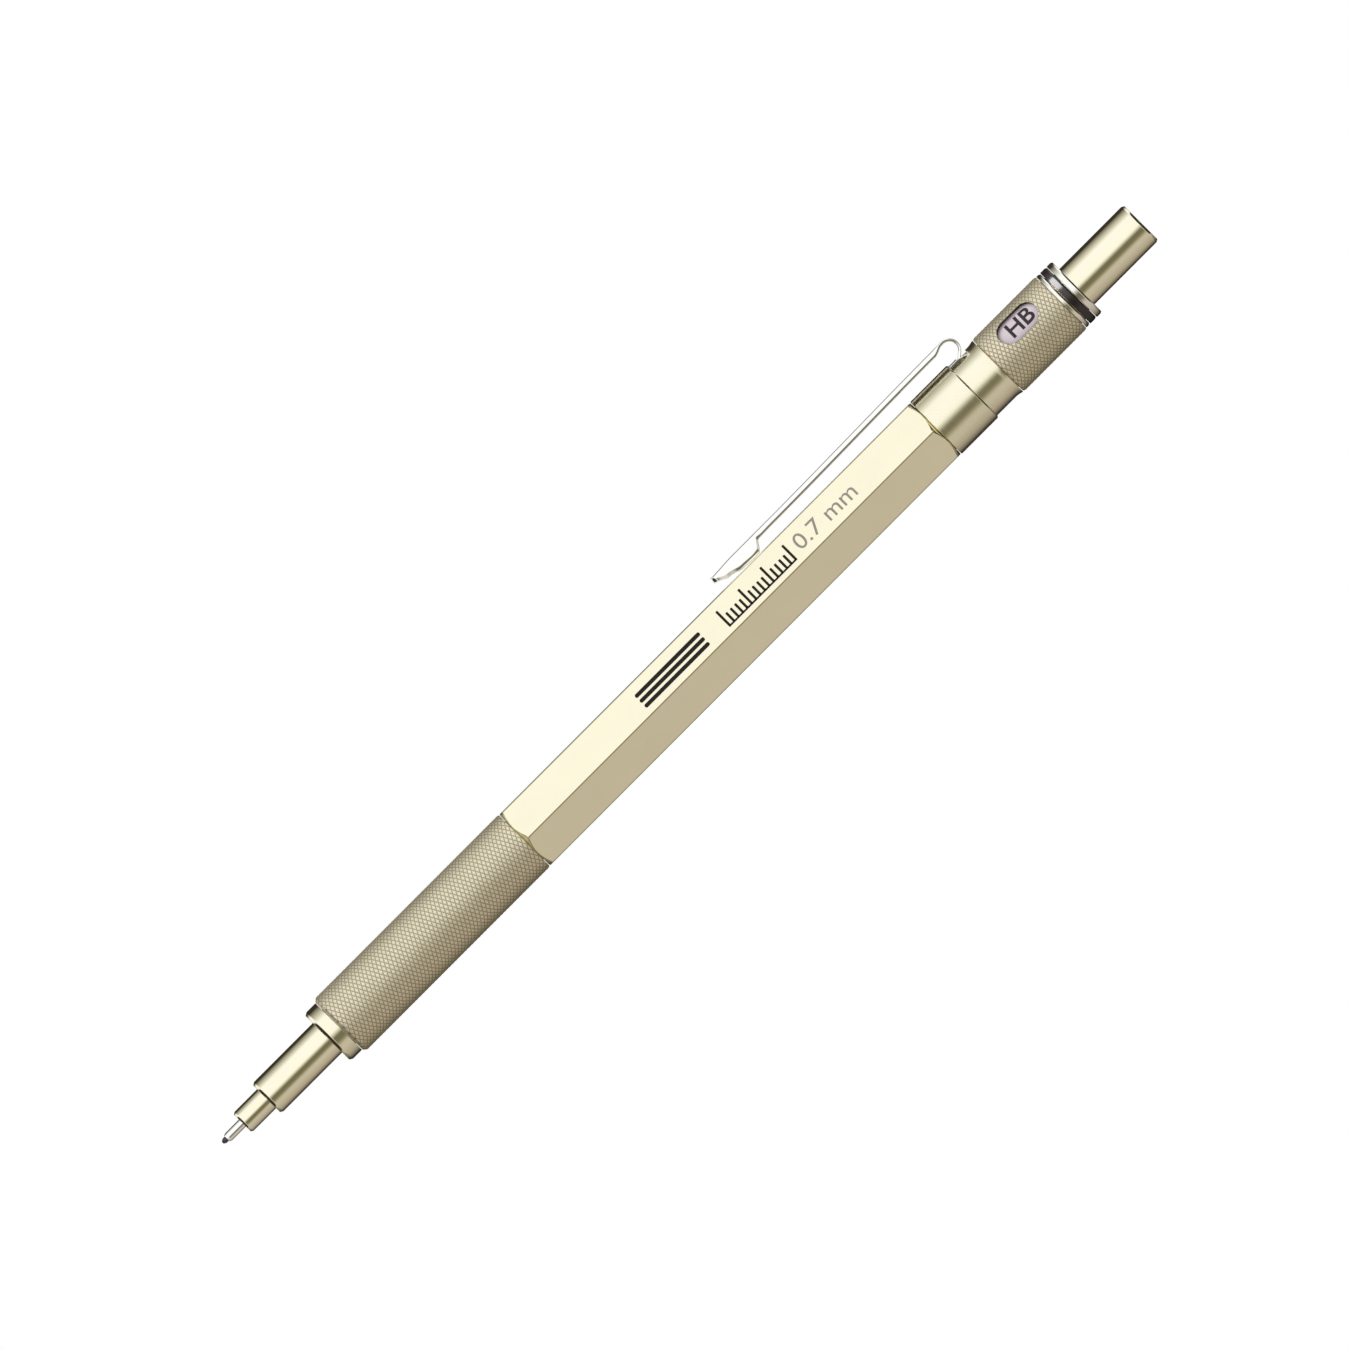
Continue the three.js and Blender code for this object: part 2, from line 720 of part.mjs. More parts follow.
// A plug for the lead tube, a flange and a cup for the eraser.
function eraserFerrule() {
  const plugR = TUBE_BORE_R - RUNNING_GAP;
  const floor = FERRULE_FLANGE_START + FERRULE_FLANGE_LENGTH;
  return turned(
    [
      [FERRULE_PLUG_START, 0],
      [floor, 0],
      [floor, FERRULE_CUP_BORE_R],
      [FERRULE_CUP_END, FERRULE_CUP_BORE_R],
      [FERRULE_CUP_END, FERRULE_R],
      [FERRULE_FLANGE_START, FERRULE_R],
      [FERRULE_FLANGE_START, plugR],
      [FERRULE_PLUG_START, plugR],
    ],
    COARSE,
  );
}

function eraser() {
  const edge = 0.35;
  const start = FERRULE_FLANGE_START + FERRULE_FLANGE_LENGTH + JOINT_GAP;
  return turned(
    [
      [start, 0],
      [ERASER_END, 0],
      [ERASER_END, ERASER_R - edge],
      [ERASER_END - edge, ERASER_R],
      [start, ERASER_R],
    ],
    COARSE,
  );
}

// ---------------------------------------------------------------- assembly

const ringBore = REAR_TUBE_R + RUNNING_GAP;

place("writing_lead", writingLead(), graphite);
place("lead_sleeve", leadSleeve(), chrome);
place("nose_cone", noseCone(), champagne);
place("lead_retainer", leadRetainer(), darkRubber);
for (let i = 0; i < JAW_COUNT; i += 1) {
  place(`chuck_jaw_${i + 1}`, chuckJaw((2 * Math.PI * i) / JAW_COUNT), brass);
}
place("chuck_body", chuckBody(), brass);
place("clutch_ring", clutchRing(), brass);
place("clutch_sleeve", clutchSleeve(), brass);
place("clutch_spring", clutchSpring(), steel);
place("tube_coupler", tubeCoupler(), brass);
place("lead_tube", tube(TUBE_START, TUBE_END, TUBE_R, TUBE_BORE_R, COARSE), clearPlastic);
for (let i = 0; i < SPARE_LEAD_COUNT; i += 1) {
  place(`spare_lead_${i + 1}`, spareLead(i - (SPARE_LEAD_COUNT - 1) / 2), graphite);
}
place("grip", grip(), knurledChampagne);
place("connector_bush", tube(BUSH_START, BUSH_END, BUSH_R, BUSH_BORE_R), brass);
place("barrel", barrel(), champagne);
place("rear_tube", rearTube(), brass);
place("clip_band", clipBand(), champagne);
place("clip_loop", clipLoop(), chrome);
place("clip", clipStrip(), chrome);
place("grade_drum", gradeDrum(), paleDrum);
place("grade_collar", gradeCollar(), knurledChampagne);
place("bright_washer", ring(X_WASHER, X_BLACK - JOINT_GAP, ringBore, RING_EDGE), silver);
place("black_ring", ring(X_BLACK, X_END_RING - JOINT_GAP, ringBore, RING_EDGE), blackGloss);
place("end_ring", endRing(), silver);
place("button_bush", buttonBush(), clearPlastic);
place("push_button", pushButton(), champagne);
place("eraser_ferrule", eraserFerrule(), silver);
place("eraser", eraser(), whiteRubber);

pencil.position.set(-LENGTH / 2, 0, REST_HEIGHT);

export default pencil;
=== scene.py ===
"""Looks of a push-action mechanical drafting pencil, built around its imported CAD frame.

The pencil lies along X with its tip towards -X and its clip on top. Profiles are written as
(distance from the tip, radius) in millimetres and turned about the pencil's axis.
"""
import math

import bmesh
import bpy
from mathutils import Matrix, Vector


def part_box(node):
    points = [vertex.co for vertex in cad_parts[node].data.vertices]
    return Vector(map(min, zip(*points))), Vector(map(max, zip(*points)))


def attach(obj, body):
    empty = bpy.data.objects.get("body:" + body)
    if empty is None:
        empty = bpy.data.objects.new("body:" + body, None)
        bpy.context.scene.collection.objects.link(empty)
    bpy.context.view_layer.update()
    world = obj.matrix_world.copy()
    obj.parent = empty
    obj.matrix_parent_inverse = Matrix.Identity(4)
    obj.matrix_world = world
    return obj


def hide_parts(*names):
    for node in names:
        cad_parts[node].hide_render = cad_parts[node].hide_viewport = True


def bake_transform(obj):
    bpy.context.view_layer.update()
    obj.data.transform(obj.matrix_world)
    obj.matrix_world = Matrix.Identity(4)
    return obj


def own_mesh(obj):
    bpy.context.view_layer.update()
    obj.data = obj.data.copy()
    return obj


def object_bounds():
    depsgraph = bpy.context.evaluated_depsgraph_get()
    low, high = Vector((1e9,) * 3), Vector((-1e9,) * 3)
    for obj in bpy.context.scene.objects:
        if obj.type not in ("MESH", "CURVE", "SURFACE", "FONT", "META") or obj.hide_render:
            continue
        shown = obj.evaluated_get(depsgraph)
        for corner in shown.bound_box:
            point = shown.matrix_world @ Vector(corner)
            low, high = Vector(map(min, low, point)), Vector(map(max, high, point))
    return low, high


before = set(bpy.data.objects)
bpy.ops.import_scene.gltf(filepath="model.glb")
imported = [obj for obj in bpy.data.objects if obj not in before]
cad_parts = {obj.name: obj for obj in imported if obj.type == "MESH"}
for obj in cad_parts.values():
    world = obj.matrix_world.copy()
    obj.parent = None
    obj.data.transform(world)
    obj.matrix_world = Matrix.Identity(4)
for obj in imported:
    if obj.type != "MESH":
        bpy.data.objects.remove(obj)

CAD_LOW, CAD_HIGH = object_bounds()
MM = 0.001
TIP_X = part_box("writing_lead")[0].x
AXIS_Z = (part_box("grip")[0].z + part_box("grip")[1].z) / 2
LENGTH = (CAD_HIGH.x - CAD_LOW.x) / MM
FULL_TURN = 2 * math.pi

# sizes that several pieces share and that the CAD nodes' boxes don't give, in mm
LEAD_R = 0.35
STEM_R = 0.9  # chuck jaws' stems
CHUCK_BORE_R = 0.45
RING_BORE_R = 1.15
GUIDE_BORE_R = 1.92  # clutch sleeve, and the seats of the lead tube
TUBE_BORE_R = 1.5
SHELL_BORE_R = 3.0  # grip and barrel
REAR_BORE_R = 3.25  # everything that sits on the rear tube
DRUM_SEAT_R = 3.55
WINDOW_X = 124.7
WINDOW_ANGLE = 28  # degrees above the -Y side


def span(node):
    """First and last distance from the tip, and largest radius, of a round CAD node, in mm."""
    low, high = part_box(node)
    return (low.x - TIP_X) / MM, (high.x - TIP_X) / MM, (high.y - low.y) / 2 / MM


def point(x, y, z):
    """A point in the row frame from a distance along the axis and offsets from the axis, in mm."""
    return Vector((TIP_X + x * MM, y * MM, AXIS_Z + z * MM))


# ---------------------------------------------------------------- materials

NOISE_RANGE = (0.3, 0.7)  # the part of a noise signal that is used


class Nodes:
    """Builds the node tree of a material or a world from short calls."""

    def __init__(self, owner):
        owner.use_nodes = True
        self.owner = owner
        self.tree = owner.node_tree
        self.shader = self.tree.nodes.get("Principled BSDF")

    def add(self, kind, **values):
        node = self.tree.nodes.new(kind)
        for key, value in values.items():
            if key in node.inputs:
                node.inputs[key].default_value = value
            else:
                setattr(node, key, value)
        return node

    def link(self, source, output, target, socket):
        self.tree.links.new(source.outputs[output], target.inputs[socket])

    def noise(self, scale, detail):
        """Noise in object coordinates, in cycles per metre along each axis."""
        coordinates = self.add("ShaderNodeTexCoord")
        mapping = self.add("ShaderNodeMapping", Scale=scale)
        self.link(coordinates, "Object", mapping, "Vector")
        noise = self.add("ShaderNodeTexNoise", Scale=1.0, Detail=detail, Roughness=0.55)
        self.link(mapping, "Vector", noise, "Vector")
        return noise

    def remap(self, source, output, start, end, low=0.0, high=1.0):
        """Maps a signal from the range start to end onto the range low to high."""
        ends = {"From Min": start, "From Max": end, "To Min": low, "To Max": high}
        node = self.add("ShaderNodeMapRange", **ends)
        self.link(source, output, node, "Value")
        return node

    def ramp(self, source, output, stops):
        """Colours along a signal, from (place, colour) pairs."""
        node = self.add("ShaderNodeValToRGB")
        elements = node.color_ramp.elements
        while len(elements) > 1:
            elements.remove(elements[-1])
        for i, (place, colour) in enumerate(stops):
            element = elements[0] if i == 0 else elements.new(place)
            element.position = place
            element.color = (*colour, 1)
        self.link(source, output, node, "Fac")
        return node

    def bump(self, source, distance):
        bump = self.add("ShaderNodeBump", Strength=1.0, Distance=distance)
        self.link(source, "Fac", bump, "Height")
        self.link(bump, "Normal", self.shader, "Normal")

    def surface(self, clouds, colours, grain, rough, rough_range, bump):
        """Two colours in soft clouds, and a fine grain in gloss and relief."""
        cloudy = self.noise(clouds, detail=3.0)
        colour = self.ramp(cloudy, "Fac", zip(NOISE_RANGE, colours))
        self.link(colour, "Color", self.shader, "Base Color")
        fine = self.noise(grain, detail=5.0)
        low = max(0.02, rough - rough_range)
        roughness = self.remap(fine, "Fac", *NOISE_RANGE, low, rough + rough_range)
        self.link(roughness, "Result", self.shader, "Roughness")
        self.bump(fine, bump)


def shade(colour, factor):
    """A colour made darker or lighter, no brighter than 1."""
    return tuple(min(1.0, c * factor) for c in colour)


def metal(name, colour, rough, rough_range, grain, bump, tint=0.04):
    """Metal with fine machining grain. grain is the noise scale per axis, in cycles per metre."""
    n = Nodes(bpy.data.materials.new(name))
    n.shader.inputs["Metallic"].default_value = 1.0
    colours = shade(colour, 1 - tint), shade(colour, 1 + tint / 2)
    n.surface((180, 260, 260), colours, grain, rough, rough_range, bump)
    return n.owner


def knurled_metal(name, peak, groove_shade_colour, rough_peak, rough_valley):
    """Metal whose colour and gloss follow the mesh's own knurl relief, from groove to crest; the grooves
    are painted darker, as painted shade.
    """
    n = Nodes(bpy.data.materials.new(name))
    n.shader.inputs["Metallic"].default_value = 1.0
    n.shader.inputs["Specular Tint"].default_value = (0.3, 0.26, 0.18, 1)  # darkens the silhouette
    relief = n.add("ShaderNodeAttribute", attribute_name="relief")
    # painted shade: the colour runs from a dark brown in the grooves to the bright crest colour
    colours = n.ramp(relief, "Fac", ((0.0, groove_shade_colour), (0.75, peak)))
    worn = n.noise((900, 900, 900), detail=3.0)
    mix = n.add("ShaderNodeMix", data_type="RGBA", blend_type="MULTIPLY")
    mix.inputs["Factor"].default_value = 0.35
    n.link(colours, "Color", mix, "A")
    tint = n.ramp(worn, "Fac", zip(NOISE_RANGE, ((0.82, 0.82, 0.8), (1.0, 1.0, 1.0))))
    n.link(tint, "Color", mix, "B")
    n.link(mix, "Result", n.shader, "Base Color")
    rough = n.remap(relief, "Fac", 0.0, 1.0, rough_valley, rough_peak)
    n.link(rough, "Result", n.shader, "Roughness")
    n.bump(worn, 0.000002)
    return n.owner


def plastic(name, colour, rough, rough_range, grain, bump, tint=0.05, transmission=0.0, gloss=0.5):
    """Plastic, ink or rubber with a fine grain, in cycles per metre."""
    n = Nodes(bpy.data.materials.new(name))
    n.shader.inputs["Transmission Weight"].default_value = transmission
    n.shader.inputs["Specular IOR Level"].default_value = gloss
    colours = shade(colour, 1 - tint), shade(colour, 1 + tint)
    n.surface((300, 300, 300), colours, (grain,) * 3, rough, rough_range, bump)
    return n.owner


LENGTHWISE = (900, 14000, 14000)  # brushed along the pencil
TURNED = (16000, 500, 500)  # fine turning marks round the pencil

CHAMPAGNE = (0.93, 0.885, 0.68)
LOOKS = {
    "satin": metal("satin_champagne", CHAMPAGNE, 0.14, 0.03, LENGTHWISE, 0.0000005, 0.02),
    "plated": metal("plated_champagne", (0.94, 0.9, 0.71), 0.1, 0.03, TURNED, 0.0000005, 0.02),
    # the knurl's second colour is painted shade for its grooves
    "knurl": knurled_metal("knurled_champagne", (1.0, 0.94, 0.75), (0.42, 0.35, 0.23), 0.52, 0.6),
    "chrome": metal("chrome", (0.95, 0.955, 0.96), 0.05, 0.02, LENGTHWISE, 0.0000002, 0.01),
    "band": metal("satin_band", (0.94, 0.9, 0.71), 0.2, 0.04, TURNED, 0.0000008, 0.02),
    "silver": metal("silver", (0.93, 0.92, 0.88), 0.12, 0.04, TURNED, 0.0000005, 0.02),
    "brass": metal("turned_brass", (0.86, 0.66, 0.3), 0.22, 0.06, TURNED, 0.000001, 0.06),
    "steel": metal("spring_steel", (0.6, 0.61, 0.63), 0.25, 0.06, (6000, 6000, 6000), 0.000001),
    "black": plastic("gloss_black", (0.008, 0.005, 0.006), 0.2, 0.04, 5000, 0.0000004, gloss=0.6),
    "ink": plastic("black_ink", (0.01, 0.009, 0.008), 0.5, 0.1, 9000, 0.000001, gloss=0.15),
    "drum_ink": plastic("soft_black_ink", (0.035, 0.027, 0.03), 0.5, 0.1, 9000, 0.000001, gloss=0.15),
    "grey_ink": plastic("grey_ink", (0.23, 0.22, 0.19), 0.5, 0.1, 9000, 0.000001, gloss=0.15),
    "drum": plastic("pale_drum", (0.55, 0.48, 0.53), 0.3, 0.06, 4000, 0.0000006, 0.03, gloss=0.25),
    # painted shade: a near-black given to the cutters, so the walls of the window, the clip's pocket and
    # its mouth look shaded
    "cut_wall_shade": plastic("painted_shade_cut_walls", (0.02, 0.017, 0.012), 0.5, 0.1, 9000, 0.000001, gloss=0.2),
    "clear": plastic("clear_plastic", (0.86, 0.9, 0.88), 0.18, 0.05, 2500, 0.000001, 0.02, 0.6),
    "rubber": plastic("black_rubber", (0.02, 0.02, 0.021), 0.75, 0.1, 6000, 0.000004),
    "eraser": plastic("white_eraser", (0.9, 0.895, 0.87), 0.85, 0.08, 3500, 0.00001, 0.03),
    "graphite": plastic("graphite", (0.055, 0.055, 0.06), 0.38, 0.1, 9000, 0.000003, 0.2),
}
LOOKS["graphite"].node_tree.nodes["Principled BSDF"].inputs["Metallic"].default_value = 0.5


# ---------------------------------------------------------------- mesh helpers

SMOOTH_BELOW = math.radians(32)
ON_AXIS = 1e-6  # a radius below this is a point on the axis


def placed(name, data):
    """A new object in the scene."""
    thing = bpy.data.objects.new(name, data)
    bpy.context.scene.collection.objects.link(thing)
    return thing


def matrix_of(columns, origin):
    """A matrix from its three axes and its origin."""
    matrix = Matrix.Identity(4)
    for i, column in enumerate(columns):
        matrix.col[i] = (*column, 0)
    matrix.col[3] = (*origin, 1)
    return matrix


def quads(rows, row, wrap=False):
    """Faces between neighbouring closed rows of vertices, and from the last to the first if wrap."""
    faces = []
    for i in range(rows if wrap else rows - 1):
        j = (i + 1) % rows
        for k in range(row):
            n = (k + 1) % row
            faces.append((i * row + k, i * row + n, j * row + n, j * row + k))
    return faces


def finished(name, verts, faces, look, relief=None):
    """Makes a piece from vertices and faces: outward faces, smooth shading with crisp edges."""
    mesh = bpy.data.meshes.new(name)
    mesh.from_pydata([tuple(v) for v in verts], [], faces)
    if relief is not None:
        attribute = mesh.attributes.new("relief", "FLOAT", "POINT")
        attribute.data.foreach_set("value", relief)
    mesh.materials.append(LOOKS[look])
    crisp(mesh)
    return placed(name, mesh)


def crisp(mesh):
    """Outward faces, smooth shading, and a hard edge wherever two faces meet at a clear angle."""
    bm = bmesh.new()
    bm.from_mesh(mesh)
    bmesh.ops.recalc_face_normals(bm, faces=bm.faces)
    for face in bm.faces:
        face.smooth = True
    for edge in bm.edges:
        edge.smooth = len(edge.link_faces) == 2 and edge.calc_face_angle(0) < SMOOTH_BELOW
    bm.to_mesh(mesh)
    bm.free()


def weight_normals(piece):
    """Keeps broad faces flat in shading beside their small edge roundings."""
    modifier = piece.modifiers.new("weighted", "WEIGHTED_NORMAL")
    modifier.keep_sharp = True
    modifier.weight = 100


def rounded(profile, radius):
    """Rounds every corner of a closed outline that doesn't lie on the axis.

    A corner is (x, r) or (x, r, own rounding radius).
    """
    steps = 3
    result = []
    count = len(profile)
    for i, here in enumerate(profile):
        x, r = here[:2]
        edge = here[2] if len(here) > 2 else radius
        if r < ON_AXIS or edge <= 0:
            result.append((x, r))
            continue
        corner = Vector((x, r))
        before = Vector(profile[i - 1][:2]) - corner
        after = Vector(profile[(i + 1) % count][:2]) - corner
        cut = min(edge, 0.45 * before.length, 0.45 * after.length)
        start = corner + before.normalized() * cut
        end = corner + after.normalized() * cut
        for k in range(steps + 1):
            t = k / steps
            result.append(tuple(start * (1 - t) ** 2 + corner * 2 * t * (1 - t) + end * t**2))
    return result


def lathe(name, profile, look, edge=0.06, segments=128):
    """A solid turned about the pencil's axis, with rounded corners."""
    outline = rounded(profile, edge)
    verts, rings = [], []
    for x, r in outline:
        if r < ON_AXIS:
            rings.append([len(verts)])
            verts.append(point(x, 0, 0))
            continue
        rings.append(list(range(len(verts), len(verts) + segments)))
        for k in range(segments):
            a = FULL_TURN * k / segments
            verts.append(point(x, r * math.cos(a), r * math.sin(a)))
    faces = []
    for i, ring in enumerate(rings):
        following = rings[(i + 1) % len(rings)]
        if len(ring) == 1 and len(following) == 1:
            continue
        for k in range(segments):
            n = (k + 1) % segments
            if len(ring) == 1:
                faces.append((ring[0], following[n], following[k]))
            elif len(following) == 1:
                faces.append((ring[k], ring[n], following[0]))
            else:
                faces.append((ring[k], ring[n], following[n], following[k]))
    piece = finished(name, verts, faces, look)
    weight_normals(piece)
    return piece


def tube(name, x0, x1, outer, inner, look, edge=0.05, segments=96):
    return lathe(name, [(x0, inner), (x1, inner), (x1, outer), (x0, outer)], look, edge, segments)


def bevelled(x, r, reach):
    """The two corners of a bevel where a cylinder meets an end face. reach is negative at a rear end."""
    drop = 0.65 * abs(reach)
    corners = [(x + reach, r, 0.08), (x, r - drop, 0.05)]
    return corners if reach > 0 else corners[::-1]


def stand_for(piece, body, slot, *nodes):
    """The piece rides on a body and stands for CAD nodes, which are hidden; slot is not used."""
    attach(piece, body)
    if nodes:
        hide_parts(*nodes)
    return piece


def without(piece, cutter):
    """Cuts one closed mesh out of another and keeps the piece's own material and relief; the new cut walls
    take the cutter's material, the painted shade of a recess.
    """
    modifier = piece.modifiers.new("cut", "BOOLEAN")
    modifier.object = cutter
    modifier.operation = "DIFFERENCE"
    modifier.solver = "EXACT"
    modifier.material_mode = "TRANSFER"
    for other in [m for m in piece.modifiers if m.name != "cut"]:
        piece.modifiers.remove(other)
    graph = bpy.context.evaluated_depsgraph_get()
    mesh = bpy.data.meshes.new_from_object(piece.evaluated_get(graph))
    piece.modifiers.clear()
    piece.data = mesh
    bpy.data.objects.remove(cutter)
    crisp(mesh)
    return piece


def prism(name, outline, low, high, matrix):
    """A closed prism over a 2D outline, from low to high along its own Z, placed by a matrix, in the
    near-black that paints shade on the walls it cuts.
    """
    count = len(outline)
    verts = [matrix @ Vector((x, y, z)) for z in (low, high) for x, y in outline]
    faces = [tuple(reversed(range(count))), tuple(range(count, 2 * count))]
    return finished(name, verts, faces + quads(2, count), "cut_wall_shade")


def slot_outline(length, width):
    """A slot with round ends, centred on the origin."""
    steps = 12
    radius, half = width / 2, length / 2 - width / 2
    turn = [math.pi * (k / steps - 0.5) for k in range(steps + 1)]
    right = [(half + radius * math.cos(a), radius * math.sin(a)) for a in turn]
    return right + [(-x, -y) for x, y in right]


def face_matrix(x, angle_deg, height=0.0):
    """Local X along the pencil, local Y up the face and local Z out of it, angle above the -Y side."""
    a = math.radians(angle_deg)
    outward = Vector((0, -math.cos(a), math.sin(a)))
    upward = Vector((0, math.sin(a), math.cos(a)))
    origin = point(x, 0, 0) + outward * height * MM
    return matrix_of((Vector((MM, 0, 0)), upward * MM, outward * MM), origin)


# ---------------------------------------------------------------- nose and lead


def make_lead():
    """The lead, worn to a slanting facet at its tip."""
    x0, x1, r = span("writing_lead")
    profile = [(x0, 0), (x1, 0), (x1, r), (x0 + 0.32, r), (x0 + 0.06, 0.19), (x0, 0.1)]
    lead = lathe("lead", profile, "graphite", 0.04, 48)
    stand_for(lead, "lead", "graphite", "writing_lead")


def make_nose():
    """The stepped nose with its bores and thread, the lead sleeve and the rubber retainer."""
    x0, x1, flange_r = span("nose_cone")
    step, flange, seat = 6.8, 16.2, 17.95
    tip_r, body_r, root_r, spigot_r = 1.475, 2.275, 2.63, 2.75
    retainer_start, chuck_start, ring_start, guide_start = 8.0, 9.8, 13.55, 16.5
    sleeve_bore, retainer_bore, chuck_bore, ring_bore, guide_bore = 0.56, 1.53, 1.66, 1.95, 2.35
    inner_edge = 0.02
    profile = [
        (x0, sleeve_bore, inner_edge),
        (retainer_start, sleeve_bore, inner_edge),
        (retainer_start, retainer_bore, inner_edge),
        (chuck_start, retainer_bore, inner_edge),
        (chuck_start, chuck_bore, inner_edge),
        (ring_start, chuck_bore, inner_edge),
        (ring_start, ring_bore, inner_edge),
        (guide_start, ring_bore, inner_edge),
        (guide_start, guide_bore, inner_edge),
        (x1, guide_bore, 0.04),
        (x1, spigot_r, 0.15),
        (seat, root_r, inner_edge),
        (seat, flange_r, 0.08),
        *bevelled(flange, flange_r, 0.36),
        (flange, body_r, 0.05),
        *bevelled(step, body_r, 0.32),
        (step, tip_r, 0.05),
        *bevelled(x0, tip_r, 0.26),
    ]
    nose = lathe("nose", profile, "plated", 0.05, 160)
    stand_for(nose, "nose", "plated_champagne", "nose_cone")
    make_thread(seat + 0.5, x1 - 0.3, root_r + 0.01)

    x0, x1, r = span("lead_sleeve")
    sleeve = lathe(
        "sleeve",
        [(x0, 0.4, 0.02), (x1, 0.4), (x1, r), (x0 + 0.35, r, 0.1), (x0, r - 0.1, 0.05)],
        "chrome",
        0.03,
        72,
    )
    stand_for(sleeve, "nose", "chrome", "lead_sleeve")

    x0, x1, r = span("lead_retainer")
    retainer = tube("retainer", x0, x1, r, 0.37, "rubber", 0.12, 48)
    stand_for(retainer, "nose", "black_rubber", "lead_retainer")


def make_thread(x0, x1, root):
    """The nose's thread: a closed helical ridge on its spigot, fading out at both ends."""
    pitch, depth, segments, sunk = 0.5, 0.09, 64, 0.02
    turns = (x1 - x0) / pitch
    steps = int(turns * segments)
    verts = []
    for i in range(steps + 1):
        t = i / steps
        a = FULL_TURN * turns * t
        height = depth * min(1.0, 12 * t, 12 * (1 - t)) + 0.004
        x = x0 + (x1 - x0) * t
        half = pitch * 0.36
        for dx, r in ((-half, root - sunk), (0, root + height), (half, root - sunk)):
            verts.append(point(x + dx, r * math.cos(a), r * math.sin(a)))
    faces = quads(steps + 1, 3) + [(0, 1, 2), (3 * steps, 3 * steps + 1, 3 * steps + 2)]
    stand_for(finished("nose_thread", verts, faces, "plated"), "nose", "plated_champagne")


# ---------------------------------------------------------------- chuck, clutch and lead store


def make_jaws():
    """Three sectors of a split collet, with parallel slits between them."""
    x0, x1, _ = span("chuck_jaw_1")
    head, bore, half_slit = 1.42, LEAD_R + 0.01, 0.08
    profile = rounded(
        [
            (x0, bore),
            (x1, bore),
            (x1, STEM_R),
            (x0 + 2.25, STEM_R),
            (x0 + 1.5, head),
            (x0 + 0.25, head),
            (x0, head - 0.25),
        ],
        0.05,
    )
    steps = 20
    for jaw in range(3):
        middle = -math.pi / 2 + FULL_TURN * jaw / 3
        verts, faces = [], []
        for x, r in profile:
            reach = math.pi / 3 - math.asin(min(1.0, half_slit / r))
            for k in range(steps + 1):
                a = middle + reach * (2 * k / steps - 1)
                verts.append(point(x, r * math.cos(a), r * math.sin(a)))
        count, row = len(profile), steps + 1
        for i in range(count):
            for k in range(steps):
                a, b = i * row + k, ((i + 1) % count) * row + k
                faces.append((a, a + 1, b + 1, b))
        faces.append(tuple(i * row for i in range(count)))
        faces.append(tuple(i * row + steps for i in range(count)))
        piece = finished(f"jaw_{jaw + 1}", verts, faces, "brass")
        stand_for(piece, f"jaw_{jaw + 1}", "brass", f"chuck_jaw_{jaw + 1}")


def make_clutch():
    """The closing ring, the guide that stops it, the tube's coupler and the chuck's stem."""
    x0, x1, r = span("clutch_ring")
    seat = 0.35
    profile = [
        (x0, RING_BORE_R + seat),
        (x0 + seat, RING_BORE_R),
        (x1, RING_BORE_R),
        (x1, r, 0.2),
        (x0, r, 0.2),
    ]
    stand_for(lathe("clutch_closing_ring", profile, "brass"), "clutch_ring", "brass", "clutch_ring")

    x0, x1, r = span("clutch_sleeve")
    wall, flange, guide_r = x0 + 2.0, 24.3, 2.3
    profile = [
        (x0, RING_BORE_R),
        (wall, RING_BORE_R),
        (wall, GUIDE_BORE_R),
        (x1, GUIDE_BORE_R),
        (x1, r),
        (flange, r),
        (flange, guide_r),
        (x0, guide_r),
    ]
    stand_for(lathe("clutch_guide", profile, "brass"), "shell", "brass", "clutch_sleeve")

    x0, x1, r = span("tube_coupler")
    stem_seat, stem_end, tube_start = 1.07, 31.05, 31.35
    profile = [
        (x0, stem_seat),
        (stem_end, stem_seat),
        (stem_end, CHUCK_BORE_R),
        (tube_start, CHUCK_BORE_R),
        (tube_start, GUIDE_BORE_R),
        (x1, GUIDE_BORE_R),
        (x1, r, 0.3),
        (x0, r, 0.3),
    ]
    stand_for(lathe("coupler", profile, "brass"), "mechanism", "brass", "tube_coupler")

    x0, x1, r = span("chuck_body")
    shoulder = 29.05
    profile = [(x0, CHUCK_BORE_R), (x1, CHUCK_BORE_R), (x1, r), (shoulder, r), (x0, STEM_R)]
    stand_for(lathe("chuck_stem", profile, "brass", 0.03, 64), "mechanism", "brass", "chuck_body")


def make_spring():
    """A compression spring with closed end turns."""
    mean, wire, turns, closed_turns = 1.62, 0.2, 9, 1
    start, end, _ = span("clutch_spring")
    x0, x1 = start + wire, end - wire
    steps, sides = 36 * turns, 10
    flat = wire * 1.02  # rise of a closed turn
    verts = []
    for i in range(steps + 1):
        turn = turns * i / steps
        if turn < closed_turns:
            x = x0 + flat * turn
        elif turn > turns - closed_turns:
            x = x1 - flat * (turns - turn)
        else:
            share = (turn - closed_turns) / (turns - 2 * closed_turns)
            x = x0 + flat + share * (x1 - x0 - 2 * flat)
        a = FULL_TURN * turn
        for k in range(sides):
            b = FULL_TURN * k / sides
            r = mean + wire * math.cos(b)
            verts.append(point(x + wire * math.sin(b), r * math.cos(a), r * math.sin(a)))
    faces = quads(steps + 1, sides)
    faces.append(tuple(range(sides)))
    faces.append(tuple(range(steps * sides, (steps + 1) * sides)))
    spring = finished("return_spring", verts, faces, "steel")
    stand_for(spring, "shell", "spring_steel", "clutch_spring")
    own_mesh(spring)


